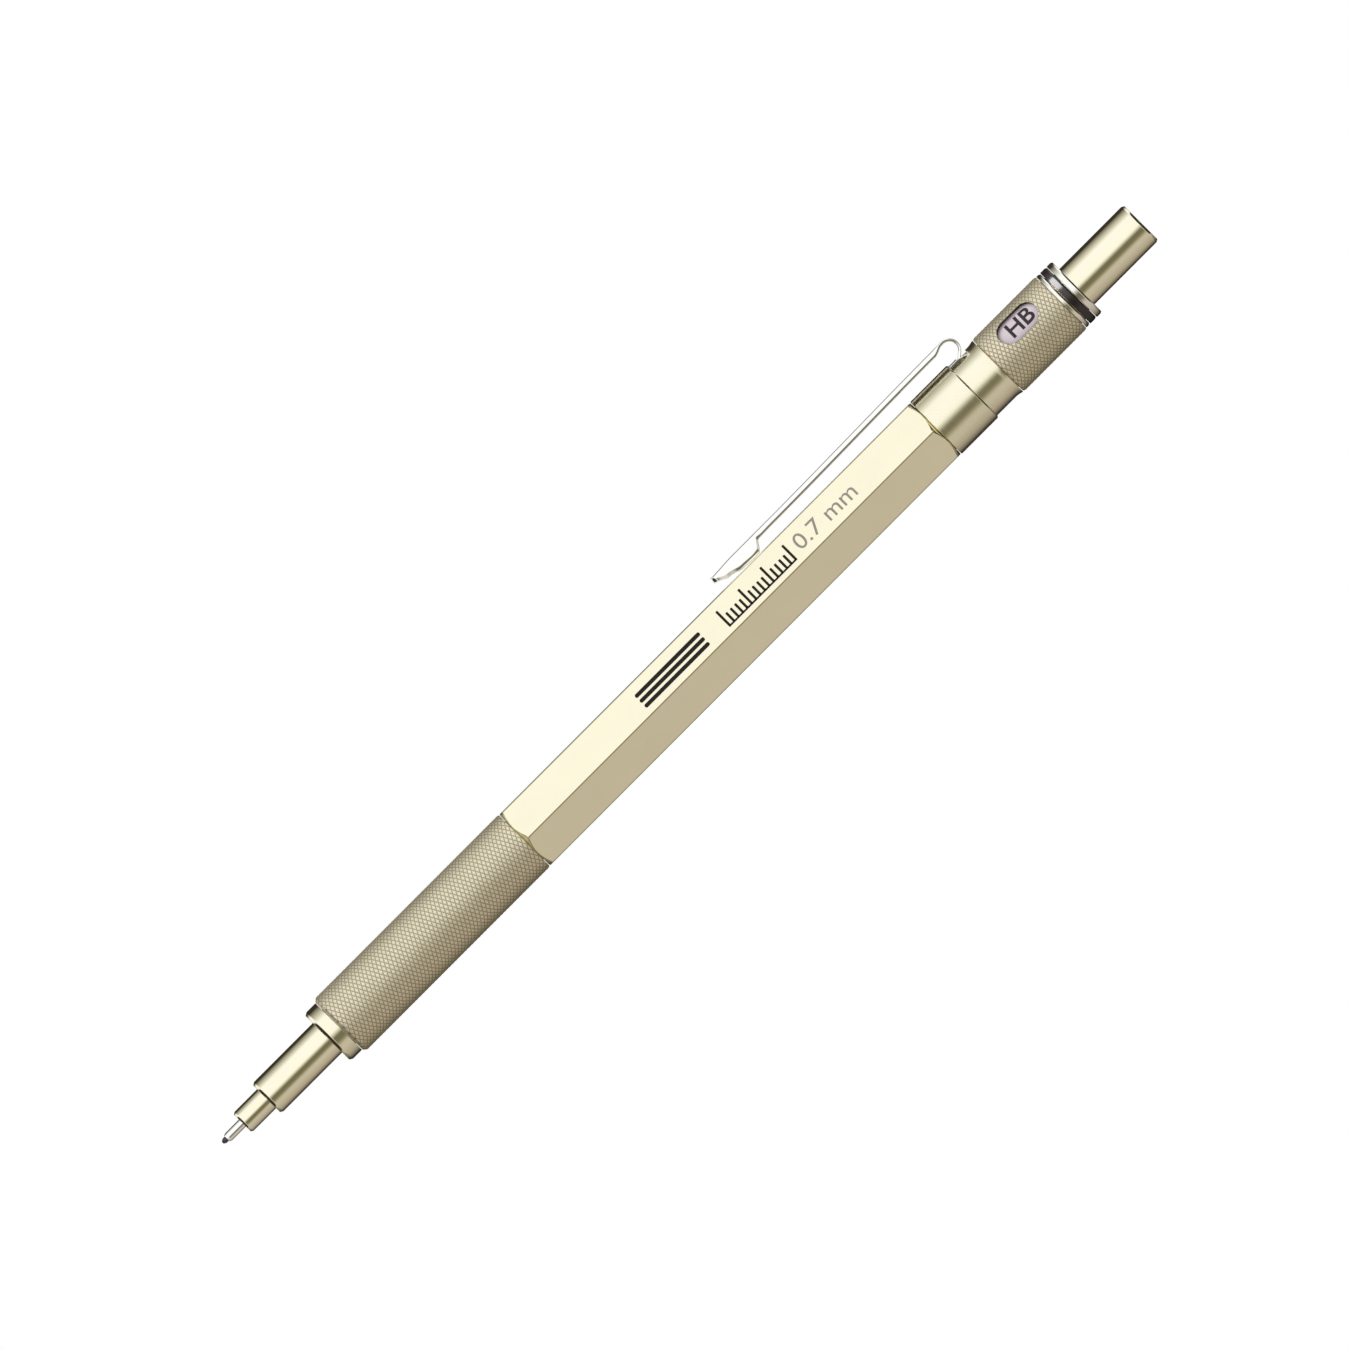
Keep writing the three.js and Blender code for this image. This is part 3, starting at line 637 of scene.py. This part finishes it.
def make_lead_store():
    """The clear tube with three spare leads on its floor."""
    x0, x1, r = span("lead_tube")
    store = tube("lead_store", x0, x1, r, TUBE_BORE_R, "clear", 0.08)
    stand_for(store, "mechanism", "clear_plastic", "lead_tube")
    for i in range(3):
        node = f"spare_lead_{i + 1}"
        low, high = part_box(node)
        middle = (low + high) / 2
        x0, x1, _ = span(node)
        profile = [(x0, 0), (x1, 0), (x1, LEAD_R), (x0, LEAD_R)]
        lead = lathe(f"stored_lead_{i + 1}", profile, "graphite", 0.04, 24)
        lead.data.transform(Matrix.Translation((0, middle.y, middle.z - AXIS_Z)))
        stand_for(lead, "mechanism", "graphite", node)


# ---------------------------------------------------------------- knurling

KNURL_PITCH = 0.5
KNURL_DEPTH = 0.045
PLAIN_RELIEF = 0.7  # relief value of the surfaces beside the knurling


def knurl_height(s, t):
    """Height of a diamond knurl from 0 in the grooves to 1 on the crests. s and t count half pitches."""
    first = abs((s + t) % 2 - 1)
    second = abs((s - t) % 2 - 1)
    return min(1.0, min(first, second) * 2)


def knurled_sleeve(name, x0, x1, outer, inside, front_chamfer, rear_chamfer):
    """A sleeve with real diamond knurling. inside is the open (x, r) outline of its bore, front to rear."""
    around = 4 * round(math.pi * outer / KNURL_PITCH / 2) * 2
    along = max(8, 4 * round((x1 - x0 - front_chamfer - rear_chamfer) / KNURL_PITCH))
    verts, relief, faces = [], [], []

    def ring(x, radius_at, height_at):
        for k in range(around):
            a = FULL_TURN * k / around
            r = radius_at(k)
            verts.append(point(x, r * math.cos(a), r * math.sin(a)))
            relief.append(height_at(k))

    first, last = x0 + front_chamfer, x1 - rear_chamfer
    for share in (0.0, 0.15):
        r = outer - KNURL_DEPTH - front_chamfer * (1 - share) ** 2
        ring(x0 + front_chamfer * share, lambda k, r=r: r, lambda k: PLAIN_RELIEF)
    for i in range(along + 1):
        x = first + (last - first) * i / along
        fade = min(1.0, i / 2, (along - i) / 2)
        ring(
            x,
            lambda k, i=i, fade=fade: outer - KNURL_DEPTH * (1 - fade * knurl_height(k / 2, i / 2)),
            lambda k, i=i: knurl_height(k / 2, i / 2),
        )
    for share in (0.15, 0.0):
        r = outer - KNURL_DEPTH - rear_chamfer * (1 - share) ** 2
        ring(x1 - rear_chamfer * share, lambda k, r=r: r, lambda k: PLAIN_RELIEF)
    for x, r in reversed(inside):
        ring(x, lambda k, r=r: r, lambda k: PLAIN_RELIEF)
    rows = len(verts) // around
    for i in range(rows):
        j = (i + 1) % rows
        for k in range(around):
            n = (k + 1) % around
            a, b, c, d = i * around + k, i * around + n, j * around + n, j * around + k
            if relief[a] + relief[c] <= relief[b] + relief[d]:
                faces += [(a, b, c), (a, c, d)]
            else:
                faces += [(a, b, d), (b, c, d)]
    return finished(name, verts, faces, "knurl", relief)


def make_grip():
    """The knurled sleeve, with the narrower bore that takes the nose's thread."""
    x0, x1, r = span("grip")
    thread_r, thread_end = 2.8, 24.25
    inside = [(x0, thread_r), (thread_end, thread_r), (thread_end, SHELL_BORE_R), (x1, SHELL_BORE_R)]
    grip = knurled_sleeve("knurled_grip", x0, x1, r, inside, 0.35, 0.1)
    stand_for(grip, "shell", "knurled_champagne", "grip")


# ---------------------------------------------------------------- barrel and printing

FLATS = (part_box("barrel")[1].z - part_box("barrel")[0].z) / MM


def make_barrel():
    """A hexagonal tube with soft corners, its ends turned down to a cone."""
    x0, x1, _ = span("barrel")
    apothem, corner, soft = FLATS / 2, 0.4, 0.05
    end_r, length = apothem - 0.1, 0.55
    lip, face_r, rear_bore_start = 0.03, end_r - 0.12, 100.0
    half_side = math.pi / 6  # angle from the middle of a flat to its corner
    sharp_r = apothem / math.cos(half_side)
    slope = (sharp_r - end_r) / length
    centre = (apothem - corner) / math.cos(half_side)
    # angle from a corner to the point where its rounding meets the flat
    half_corner = math.atan2(corner / 2, centre + corner * math.cos(half_side))

    def radius(a):
        """Distance to the rounded hexagon at an angle, with a flat at 90 degrees."""
        b = (a - math.pi / 2 + half_side) % (math.pi / 3) - half_side
        turn = half_side - abs(b)
        if turn >= half_corner:
            return apothem / math.cos(b)
        across = centre * math.sin(turn)
        return centre * math.cos(turn) + math.sqrt(corner**2 - across**2)

    angles = []
    for side in range(6):
        middle = math.pi / 2 + side * math.pi / 3
        flat_reach = half_side - half_corner
        angles += [middle - flat_reach + 2 * flat_reach * k / 8 for k in range(8)]
        angles += [middle + flat_reach + 2 * half_corner * k / 10 for k in range(10)]
    verts = []
    for a in angles:
        r = radius(a)
        run = (r - end_r) / slope
        profile = [
            (x0, SHELL_BORE_R),
            (x0, face_r),
            (x0 + lip, end_r - lip),
            (x0 + run - soft, end_r + (run - soft) * slope),
            (x0 + run + soft * 0.3, r - soft * 0.15),
            (x0 + run + soft * 2, r),
            (x1 - run - soft * 2, r),
            (x1 - run - soft * 0.3, r - soft * 0.15),
            (x1 - run + soft, end_r + (run - soft) * slope),
            (x1 - lip, end_r - lip),
            (x1, face_r),
            (x1, REAR_BORE_R),
            (rear_bore_start, REAR_BORE_R),
            (rear_bore_start, SHELL_BORE_R),
        ]
        verts += [point(x, q * math.cos(a), q * math.sin(a)) for x, q in profile]
    faces = quads(len(angles), len(profile), wrap=True)
    barrel = finished("hexagonal_barrel", verts, faces, "satin")
    weight_normals(barrel)
    stand_for(barrel, "shell", "satin_champagne", "barrel")


PRINT_FACE = 30  # degrees above the -Y side: the normal of the printed flat
PRINT_HEIGHT = 2.6
PRINT_MIDDLE = -0.29  # above the middle of the flat


def rounded_bar(x0, x1, y0, y1, corner):
    """The outline of a rectangle with rounded corners."""
    steps = 3
    corner = min(corner, (x1 - x0) / 2.01, (y1 - y0) / 2.01)
    centres = [(x1 - corner, y1 - corner, 0), (x0 + corner, y1 - corner, 1),
               (x0 + corner, y0 + corner, 2), (x1 - corner, y0 + corner, 3)]
    return [
        (cx + corner * math.cos(a), cy + corner * math.sin(a))
        for cx, cy, quarter in centres
        for a in (math.pi / 2 * (quarter + k / steps) for k in range(steps + 1))
    ]


def printed(name, outlines, matrix):
    """One thin raised black print made of several closed outlines."""
    sunk, thickness = 0.02, 0.012
    verts, faces = [], []
    for outline in outlines:
        base, count = len(verts), len(outline)
        verts += [matrix @ Vector((x, y, z)) for z in (-sunk, thickness) for x, y in outline]
        faces.append(tuple(base + i for i in reversed(range(count))))
        faces.append(tuple(base + count + i for i in range(count)))
        faces += [
            (base + i, base + (i + 1) % count, base + (i + 1) % count + count, base + i + count)
            for i in range(count)
        ]
    stand_for(finished(name, verts, faces, "ink"), "shell", "gloss_black")


def make_marks():
    """Plain printed bars and a short scale on the flat that faces the user."""
    matrix = face_matrix(0, PRINT_FACE, FLATS / 2)
    low, high = PRINT_MIDDLE - PRINT_HEIGHT / 2, PRINT_MIDDLE + PRINT_HEIGHT / 2
    bars = []
    start, end = 66.3, 76.2
    rows, half_bar = 3, 0.26
    for i in range(rows):
        y = low + (high - low) * (i + 0.5) / rows
        bars.append(rounded_bar(start, end, y - half_bar, y + half_bar, 0.2))
    printed("printed_stripes", bars, matrix)

    ticks = []
    start, spacing, count, tick = 79.0, 0.68, 16, 0.3
    for i in range(count):
        top = high if i % 5 == 0 else low + (high - low) * 0.62
        x = start + i * spacing
        ticks.append(rounded_bar(x, x + tick, low, top, 0.06))
    end = start + (count - 1) * spacing + tick
    ticks.append(rounded_bar(start, end, low - 0.02, low + 0.22, 0.06))
    printed("printed_scale", ticks, matrix)


def text_mesh(name, text, size, place, look, weight=0.0):
    """Generic characters as a thin raised print on the shell. place takes flat (x, y, z) in mm."""
    longest_edge = 0.25
    curve = bpy.data.curves.new(name, "FONT")
    curve.body = text
    curve.size = size
    curve.align_x = "CENTER"
    curve.align_y = "CENTER"
    curve.extrude = 0.01
    curve.offset = weight
    curve.resolution_u = 4
    source = placed(name + "_source", curve)
    graph = bpy.context.evaluated_depsgraph_get()
    mesh = bpy.data.meshes.new_from_object(source.evaluated_get(graph))
    bpy.data.objects.remove(source)
    bm = bmesh.new()
    bm.from_mesh(mesh)
    bmesh.ops.remove_doubles(bm, verts=bm.verts, dist=1e-5)
    for _ in range(4):
        bmesh.ops.triangulate(bm, faces=bm.faces)
        long_edges = [e for e in bm.edges if e.calc_length() > longest_edge]
        bmesh.ops.subdivide_edges(bm, edges=long_edges, cuts=1)
    for vertex in bm.verts:
        vertex.co = place(vertex.co)
    bmesh.ops.triangulate(bm, faces=bm.faces)
    bm.to_mesh(mesh)
    bm.free()
    mesh.materials.clear()
    mesh.materials.append(LOOKS[look])
    crisp(mesh)
    stand_for(placed(name, mesh), "shell", "gloss_black")


def make_lead_width():
    """The lead width in grey, a plain number."""
    matrix = face_matrix(94.9, PRINT_FACE, FLATS / 2)
    shift = Vector((0, PRINT_MIDDLE, 0))
    text_mesh("lead_width", "0.7 mm", 3.0, lambda v: matrix @ (v + shift), "grey_ink")


# ---------------------------------------------------------------- band, clip, collar and rings


CLIP_HALF = 1.7
CLIP_SHEET = 0.34
FOOT_HALF = 1.15
FOOT_FLOOR = 3.28
LOOP_R = 1.3


def rear_of_mouth():
    """Where the slot for the clip's foot ends."""
    return span("clip_loop")[1] - 0.1


def make_band():
    """The band and neck behind the barrel, with the clip's pocket and its mouth cut out on top."""
    x0, x1, r = span("clip_band")
    neck, neck_r, flare = 115.9, 3.78, 0.7
    profile = [
        (x0, REAR_BORE_R),
        (x1, REAR_BORE_R),
        (x1, r - 0.05),
        (x1 - flare, neck_r, 0.3),
        (neck + 0.14, neck_r, 0.05),
        (neck, r, 0.1),
        (x0, r, 0.14),
    ]
    band = lathe("band", profile, "band", 0.05, 160)
    upward = Matrix.LocRotScale(point(0, 0, 0), None, Vector((MM, MM, MM)))
    side, rear = FOOT_HALF + 0.1, rear_of_mouth()
    pocket_start, mouth_length = 113.4, 1.4
    pocket = rounded_bar(pocket_start, rear, -side, side, 0.1)
    # the pocket's and the mouth's cut walls take a near-black as painted shade
    band = without(band, prism("pocket", pocket, FOOT_FLOOR - 0.02, FOOT_FLOOR + CLIP_SHEET + 0.05, upward))
    mouth = rounded_bar(rear - mouth_length, rear, -side, side, 0.2)
    band = without(band, prism("mouth", mouth, FOOT_FLOOR, r + 1, upward))
    weight_normals(band)
    stand_for(band, "shell", "plated_champagne", "clip_band")


def blend_between(x, table):
    """Smooth value at x from a short list of (x, value) pairs."""
    if x <= table[0][0]:
        return table[0][1]
    for (xa, a), (xb, b) in zip(table, table[1:]):
        if x <= xb:
            t = (x - xa) / (xb - xa)
            t = t * t * (3 - 2 * t)
            return a + (b - a) * t
    return table[-1][1]


def make_clip():
    """A folded channel from the lip, along the strip and round the loop into the slot."""
    top = (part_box("clip_loop")[1].z - AXIS_Z) / MM
    rear = span("clip_loop")[1]
    tip = span("clip")[0]
    touch = FLATS / 2 + 0.03
    front = top - 0.3
    loop_x, loop_z = rear - LOOP_R, top - LOOP_R
    top_line = [(tip, front - 0.15), (tip + 3.5, front), (tip + 8, front), (loop_x, top)]
    under_line = [
        (tip, touch + 1.15),
        (tip + 1.8, touch + 0.5),
        (tip + 3.5, touch + 0.1),
        (tip + 5.1, touch),
        (tip + 5.8, touch + 0.06),
        (tip + 6.9, front - 0.78),
        (tip + 9, front - 0.74),
        (loop_x - 1.6, top - 0.76),
        (loop_x - 0.2, top - CLIP_SHEET),
    ]
    half_line = [(tip, 0.9), (tip + 0.5, 1.15), (tip + 3, 1.5), (tip + 8, 1.6), (rear, CLIP_HALF)]
    roof_line = [(tip + 6.2, 0.0), (tip + 7.6, 1.0)]

    stations = []
    xs = [tip + 0.12 * k for k in range(80)]
    xs += [xs[-1] + (loop_x - 2.4 - xs[-1]) * k / 24 for k in range(1, 25)]
    xs += [loop_x - 2.4 + 0.2 * k for k in range(1, 13)]
    for x in xs:
        z = blend_between(x, top_line)
        depth = max(CLIP_SHEET, z - blend_between(x, under_line))
        stations.append((x, z, (0, 1), blend_between(x, half_line), depth, blend_between(x, roof_line)))
    turned = math.radians(140)
    steps = 28
    for k in range(1, steps + 1):
        share = k / steps
        a = math.pi / 2 - turned * share
        half = CLIP_HALF + (FOOT_HALF - CLIP_HALF) * share
        outward = (math.cos(a), math.sin(a))
        x, z = loop_x + LOOP_R * outward[0], loop_z + LOOP_R * outward[1]
        stations.append((x, z, outward, half, CLIP_SHEET, 1.0))
    strip = swept_channel("clip_strip", stations)
    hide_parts("clip", "clip_loop")
    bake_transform(strip)

    # the foot starts where the loop ends, runs down into the mouth and bends forward into the pocket
    def foot_at(x, z, outward):
        return x, z, outward, FOOT_HALF, CLIP_SHEET, 1.0

    x, z, outward = stations[-1][:3]
    start = math.atan2(outward[1], outward[0])
    bend, foot_length = 0.55, 3.2
    fall = (z - FOOT_FLOOR - bend * (math.sin(start) + 1)) / math.cos(start)
    foot = []
    for k in range(5):
        reach = fall * k / 4
        foot.append(foot_at(x + math.sin(start) * reach, z - math.cos(start) * reach, outward))
    x, z = foot[-1][:2]
    centre_x, centre_z = x - bend * math.cos(start), z - bend * math.sin(start)
    for k in range(1, 9):
        a = start + (-math.pi / 2 - start) * k / 8
        outward = (math.cos(a), math.sin(a))
        foot.append(foot_at(centre_x + bend * outward[0], centre_z + bend * outward[1], outward))
    for k in range(1, 5):
        foot.append(foot_at(centre_x - foot_length * k / 4, centre_z - bend, (0, -1)))
    stand_for(swept_channel("clip_foot", foot), "shell", "chrome", "clip_loop")


def swept_channel(name, stations):
    """Sweeps a channel section. A station is (x, z, outward, half width, depth, roof).

    roof is 1 where the channel is hollow underneath and 0 where it is filled.
    """
    verts = []
    steps, edge = 5, 0.12
    flare, tuck = math.tan(math.radians(3)), math.tan(math.radians(13))
    for x, z, outward, half, depth, roof in stations:
        corner = min(0.28, (depth - edge) * 0.4)
        bevel = min(0.13 + 0.17 * (1 - roof), depth - edge - corner)
        wall = depth - edge - bevel - corner
        low = half + flare * wall
        ceiling = CLIP_SHEET + (depth - CLIP_SHEET) * (1 - roof)
        right = [(half - corner, 0.0)]
        for k in range(1, steps + 1):
            a = math.pi / 2 * k / steps
            right.append((half - corner * (1 - math.sin(a)), corner * (1 - math.cos(a))))
        # short rows beside each bend keep the broad faces evenly shaded
        right += [(half + flare * wall * t, corner + wall * t) for t in (0.12, 0.92, 1.0)]
        right += [(low - tuck * bevel * t, corner + wall + bevel * t) for t in (0.1, 0.9, 1.0)]
        foot = low - tuck * bevel
        for k in range(1, steps + 1):
            a = math.pi / 2 * k / steps
            right.append((foot - edge * (1 - math.cos(a)), depth - edge * (1 - math.sin(a))))
        inner = min(foot - edge - 0.02, low - CLIP_SHEET)
        right.append((inner + 0.02, max(ceiling, depth - 0.004)))
        right.append((inner, max(ceiling, depth - 0.03)))
        right.append((inner, ceiling))
        section = right + [(-a, b) for a, b in reversed(right)]
        for a, b in section:
            verts.append(point(x - outward[0] * b, a, z - outward[1] * b))
    row = len(section)
    faces = quads(len(stations), row)
    faces.append(tuple(range(row)))
    faces.append(tuple(range((len(stations) - 1) * row, len(stations) * row)))
    return finished(name, verts, faces, "chrome")


GRADES = ("HB", "B", "2B", "F", "H", "2H")


def make_drum():
    """The drum with the common lead grades round it, one behind the window."""
    x0, x1, r = span("grade_drum")
    drum = tube("grade_cylinder", x0, x1, r, REAR_BORE_R, "drum", 0.05, 128)
    stand_for(drum, "shell", "pale_drum", "grade_drum")
    for i, grade in enumerate(GRADES):
        angle = math.radians(WINDOW_ANGLE + 360 * i / len(GRADES))

        def wrap(v, angle=angle):
            a = angle + v.y / r
            reach = r + 0.004 + v.z
            return point(WINDOW_X + 0.25 + v.x, -reach * math.cos(a), reach * math.sin(a))

        text_mesh(f"grade_{grade}", grade, 2.8, wrap, "drum_ink", weight=0.05)


def make_collar():
    """The knurled collar with its window. It runs on the drum by a lip at each end."""
    x0, x1, r = span("grade_collar")
    lip, bore = 0.9, DRUM_SEAT_R + 0.05
    inside = [
        (x0, DRUM_SEAT_R),
        (x0 + lip, DRUM_SEAT_R),
        (x0 + lip, bore),
        (x1 - lip, bore),
        (x1 - lip, DRUM_SEAT_R),
        (x1, DRUM_SEAT_R),
    ]
    collar = knurled_sleeve("knurled_collar", x0, x1, r, inside, 0.16, 0.12)
    # the window's cut walls take a near-black as painted shade
    window = prism("window", slot_outline(5.4, 3.1), 3.0, r + 1, face_matrix(WINDOW_X, WINDOW_ANGLE))
    collar = without(collar, window)
    stand_for(collar, "collar", "knurled_champagne", "grade_collar")


def make_rings():
    """The washer, the black ring and the closing ring, and the two tubes inside the shell."""
    for name, node, bore, look, slot in (
        ("washer", "bright_washer", REAR_BORE_R, "silver", "silver"),
        ("gloss_ring", "black_ring", REAR_BORE_R, "black", "gloss_black"),
        ("closing_ring", "end_ring", 2.81, "silver", "silver"),
    ):
        x0, x1, r = span(node)
        outline = [(x0, bore), (x1, bore), *bevelled(x1, r, -0.22), (x0, r, 0.1)]
        ring = lathe(name, outline, look, 0.04, 160)
        stand_for(ring, "shell", slot, node)

    x0, x1, r = span("rear_tube")
    stand_for(tube("inner_tube", x0, x1, r, 2.85, "brass"), "shell", "brass", "rear_tube")
    x0, x1, r = span("connector_bush")
    stand_for(tube("joining_bush", x0, x1, r, 2.45, "brass"), "shell", "brass", "connector_bush")


# ---------------------------------------------------------------- rear


def make_rear():
    """The button with its dished end, its bush, and the eraser in its ferrule."""
    x0, x1, r = span("push_button")
    bore, wall, dish = 2.38, 1.2, 0.06
    cap = lathe(
        "button",
        [
            (x0, bore),
            (x1 - wall, bore),
            (x1 - wall, 0),
            (x1 - dish, 0),
            (x1 - dish, r * 0.35, 0.5),
            (x1, r * 0.72, 0.5),
            *bevelled(x1, r, -0.3),
            (x0, r, 0.1),
        ],
        "plated",
        0.05,
        144,
    )
    stand_for(cap, "cap", "plated_champagne", "push_button")

    x0, x1, r = span("button_bush")
    bush = tube("cap_bush", x0, x1, r, GUIDE_BORE_R, "clear", 0.15)
    stand_for(bush, "mechanism", "clear_plastic", "button_bush")

    x0, x1, r = span("eraser_ferrule")
    flange, floor, cup_r, plug_r = 131.05, 131.75, 1.95, TUBE_BORE_R - 0.05
    groove_r = r - 0.12
    profile = [
        (x0, 0),
        (floor, 0),
        (floor, cup_r),
        (x1, cup_r),
        (x1, r, 0.08),
        (x1 - 0.7, r, 0.1),
        (x1 - 0.85, groove_r, 0.1),
        (x1 - 1.15, groove_r, 0.1),
        (x1 - 1.3, r, 0.1),
        (flange, r, 0.12),
        (flange, plug_r),
        (x0, plug_r, 0.3),
    ]
    ferrule = lathe("ferrule", profile, "silver", 0.04, 96)
    stand_for(ferrule, "plug", "silver", "eraser_ferrule")

    x0, x1, r = span("eraser")
    rubber = lathe("rubber", [(x0, 0), (x1, 0), (x1, r, 0.7), (x0, r, 0.1)], "eraser", 0.05, 96)
    stand_for(rubber, "plug", "white_eraser", "eraser")


# ---------------------------------------------------------------- light, floor and camera


def make_world():
    """A pale studio: a broad overhead light, a warm surface below and dark cards beyond the object."""
    world = bpy.data.worlds.new("studio")
    bpy.context.scene.world = world
    n = Nodes(world)
    n.tree.nodes.clear()

    coordinates = n.add("ShaderNodeTexCoord")
    parts = n.add("ShaderNodeSeparateXYZ")
    n.link(coordinates, "Generated", parts, 0)
    back = n.add("ShaderNodeMath", operation="MULTIPLY")
    back.inputs[1].default_value = -1
    n.link(parts, "Y", back, 0)
    angle = n.add("ShaderNodeMath", operation="ARCTAN2")
    n.link(parts, "Z", angle, 0)
    n.link(back, 0, angle, 1)
    share = n.remap(angle, 0, -math.pi, math.pi)

    def round_the_pencil(stops):
        """Colours by angle: 0 is level in front, 90 above, 180 level behind and -90 below."""
        return n.ramp(share, 0, [(degrees / 360 + 0.5, colour) for degrees, colour in stops])

    white, cream, black = (1.0, 1.0, 1.0), (0.97, 0.96, 0.92), (0.0, 0.0, 0.0)
    dark = (0.035, 0.03, 0.02)
    tan, shaded_tan, line = (0.53, 0.49, 0.42), (0.42, 0.37, 0.31), (0.17, 0.155, 0.1)
    grey, dim = (0.5, 0.47, 0.4), (0.2, 0.18, 0.14)
    # reflections square to the pencil: a light overhead, a warm table with a dark edge, dark beyond
    square_on = round_the_pencil([
        (-180, dark), (-145, dark), (-126, (0.22, 0.19, 0.16)), (-104, shaded_tan), (-70, tan),
        (-54, tan), (-40, (0.24, 0.22, 0.14)), (-32, line), (-18, line), (-8, (0.6, 0.58, 0.5)),
        (0, cream), (10, white), (64, white), (84, (0.62, 0.62, 0.57)), (104, (0.34, 0.32, 0.27)),
        (126, dark), (180, dark),
    ])
    # from other directions the studio is soft: bright above, warm below and dim beyond the pencil
    slanting = round_the_pencil([
        (-180, dim), (-125, dim), (-100, tan), (-45, tan), (-25, (0.68, 0.65, 0.57)), (-5, cream),
        (90, white), (125, cream), (150, grey), (180, dim),
    ])
    # towards the ends of the pencil stand narrow dark cards, which draw its edges
    sideways = n.add("ShaderNodeMath", operation="ABSOLUTE")
    n.link(parts, "X", sideways, 0)
    turn = n.remap(sideways, 0, 0.3, 0.5)
    mix = n.add("ShaderNodeMix", data_type="RGBA")
    n.link(turn, 0, mix, "Factor")
    n.link(square_on, "Color", mix, "A")
    n.link(slanting, "Color", mix, "B")
    cards = n.ramp(sideways, 0, ((0.71, black), (0.76, white), (0.985, white), (0.995, black)))
    carded = n.add("ShaderNodeMix", data_type="RGBA")
    carded.inputs["B"].default_value = (*dark, 1)
    n.link(cards, "Color", carded, "Factor")
    n.link(mix, "Result", carded, "A")

    studio = n.add("ShaderNodeBackground", Strength=1.07)
    n.link(carded, "Result", studio, "Color")
    # the camera itself sees a plain white background
    plain = n.add("ShaderNodeBackground", Color=(1, 1, 1, 1), Strength=1.0)
    path = n.add("ShaderNodeLightPath")
    choose = n.add("ShaderNodeMixShader")
    n.link(path, "Is Camera Ray", choose, 0)
    n.link(studio, 0, choose, 1)
    n.link(plain, 0, choose, 2)
    output = n.add("ShaderNodeOutputWorld")
    n.link(choose, 0, output, "Surface")


def make_floor():
    """A large pale round floor under the pencil. Metal reflects the studio and not the floor."""
    floor_r, sides = 4.0, 96
    turns = [FULL_TURN * k / sides for k in range(sides)]
    verts = [(floor_r * math.cos(a), floor_r * math.sin(a), 0) for a in turns]
    mesh = bpy.data.meshes.new("floor")
    mesh.from_pydata(verts, [], [tuple(range(sides))])
    floor = placed("floor", mesh)
    floor.location.z = CAD_LOW.z
    n = Nodes(bpy.data.materials.new("pale_floor"))
    clouds = n.noise((6, 6, 6), detail=2.0)
    colours = n.ramp(clouds, "Fac", zip(NOISE_RANGE, ((0.972, 0.972, 0.97), (0.985, 0.985, 0.985))))
    n.link(colours, "Color", n.shader, "Base Color")
    n.shader.inputs["Roughness"].default_value = 0.9
    n.shader.inputs["Specular IOR Level"].default_value = 0.1
    mesh.materials.append(n.owner)
    floor.visible_glossy = False


def soft_sun(name, energy, towards):
    """A broad, soft lamp that shines from the direction given."""
    lamp = bpy.data.lights.new(name, "SUN")
    lamp.energy = energy
    lamp.angle = math.radians(50)
    sun = placed(name, lamp)
    sun.rotation_mode = "QUATERNION"
    sun.rotation_quaternion = Vector(towards).to_track_quat("Z", "Y")
    return sun


def make_light():
    """One lamp above and in front. It lights the floor and plastics and adds no gloss."""
    soft_sun("soft_key", 1.5, (-0.25, -0.45, 1.0)).visible_glossy = False


def make_glint():
    """A soft lamp above and in front that only the black ring sees, for the sheen on its lacquer."""
    height = math.radians(60)
    glint = soft_sun("ring_glint", 7.0, (0, -math.cos(height), math.sin(height)))
    seen_by = bpy.data.collections.new("glint_receivers")
    seen_by.objects.link(bpy.data.objects["gloss_ring"])
    glint.light_linking.receiver_collection = seen_by


def make_camera():
    """Square on to the pencil and rolled, so that it rises from lower left to upper right."""
    roll = math.radians(45.06)
    frame_width = 147.46 * MM
    distance = 0.5
    right = Vector((math.cos(roll), 0, -math.sin(roll)))
    up = Vector((math.sin(roll), 0, math.cos(roll)))
    back = Vector((0, -1, 0))
    middle = point(LENGTH / 2, 0, 0) - right * 0.74 * MM + up * 0.84 * MM
    data = bpy.data.cameras.new("camera")
    data.type = "ORTHO"
    data.ortho_scale = frame_width
    data.clip_start, data.clip_end = 0.01, 10
    camera = placed("camera", data)
    camera.matrix_world = matrix_of((right, up, back), middle + back * distance)
    bpy.context.scene.camera = camera
    bpy.context.scene.view_settings.view_transform = "Standard"


make_camera()
make_world()
make_floor()
make_light()

make_lead()
make_nose()
make_jaws()
make_clutch()
make_spring()
make_lead_store()
make_grip()
make_barrel()
make_marks()
make_lead_width()
make_band()
make_clip()
make_drum()
make_collar()
make_rings()
make_glint()
make_rear()
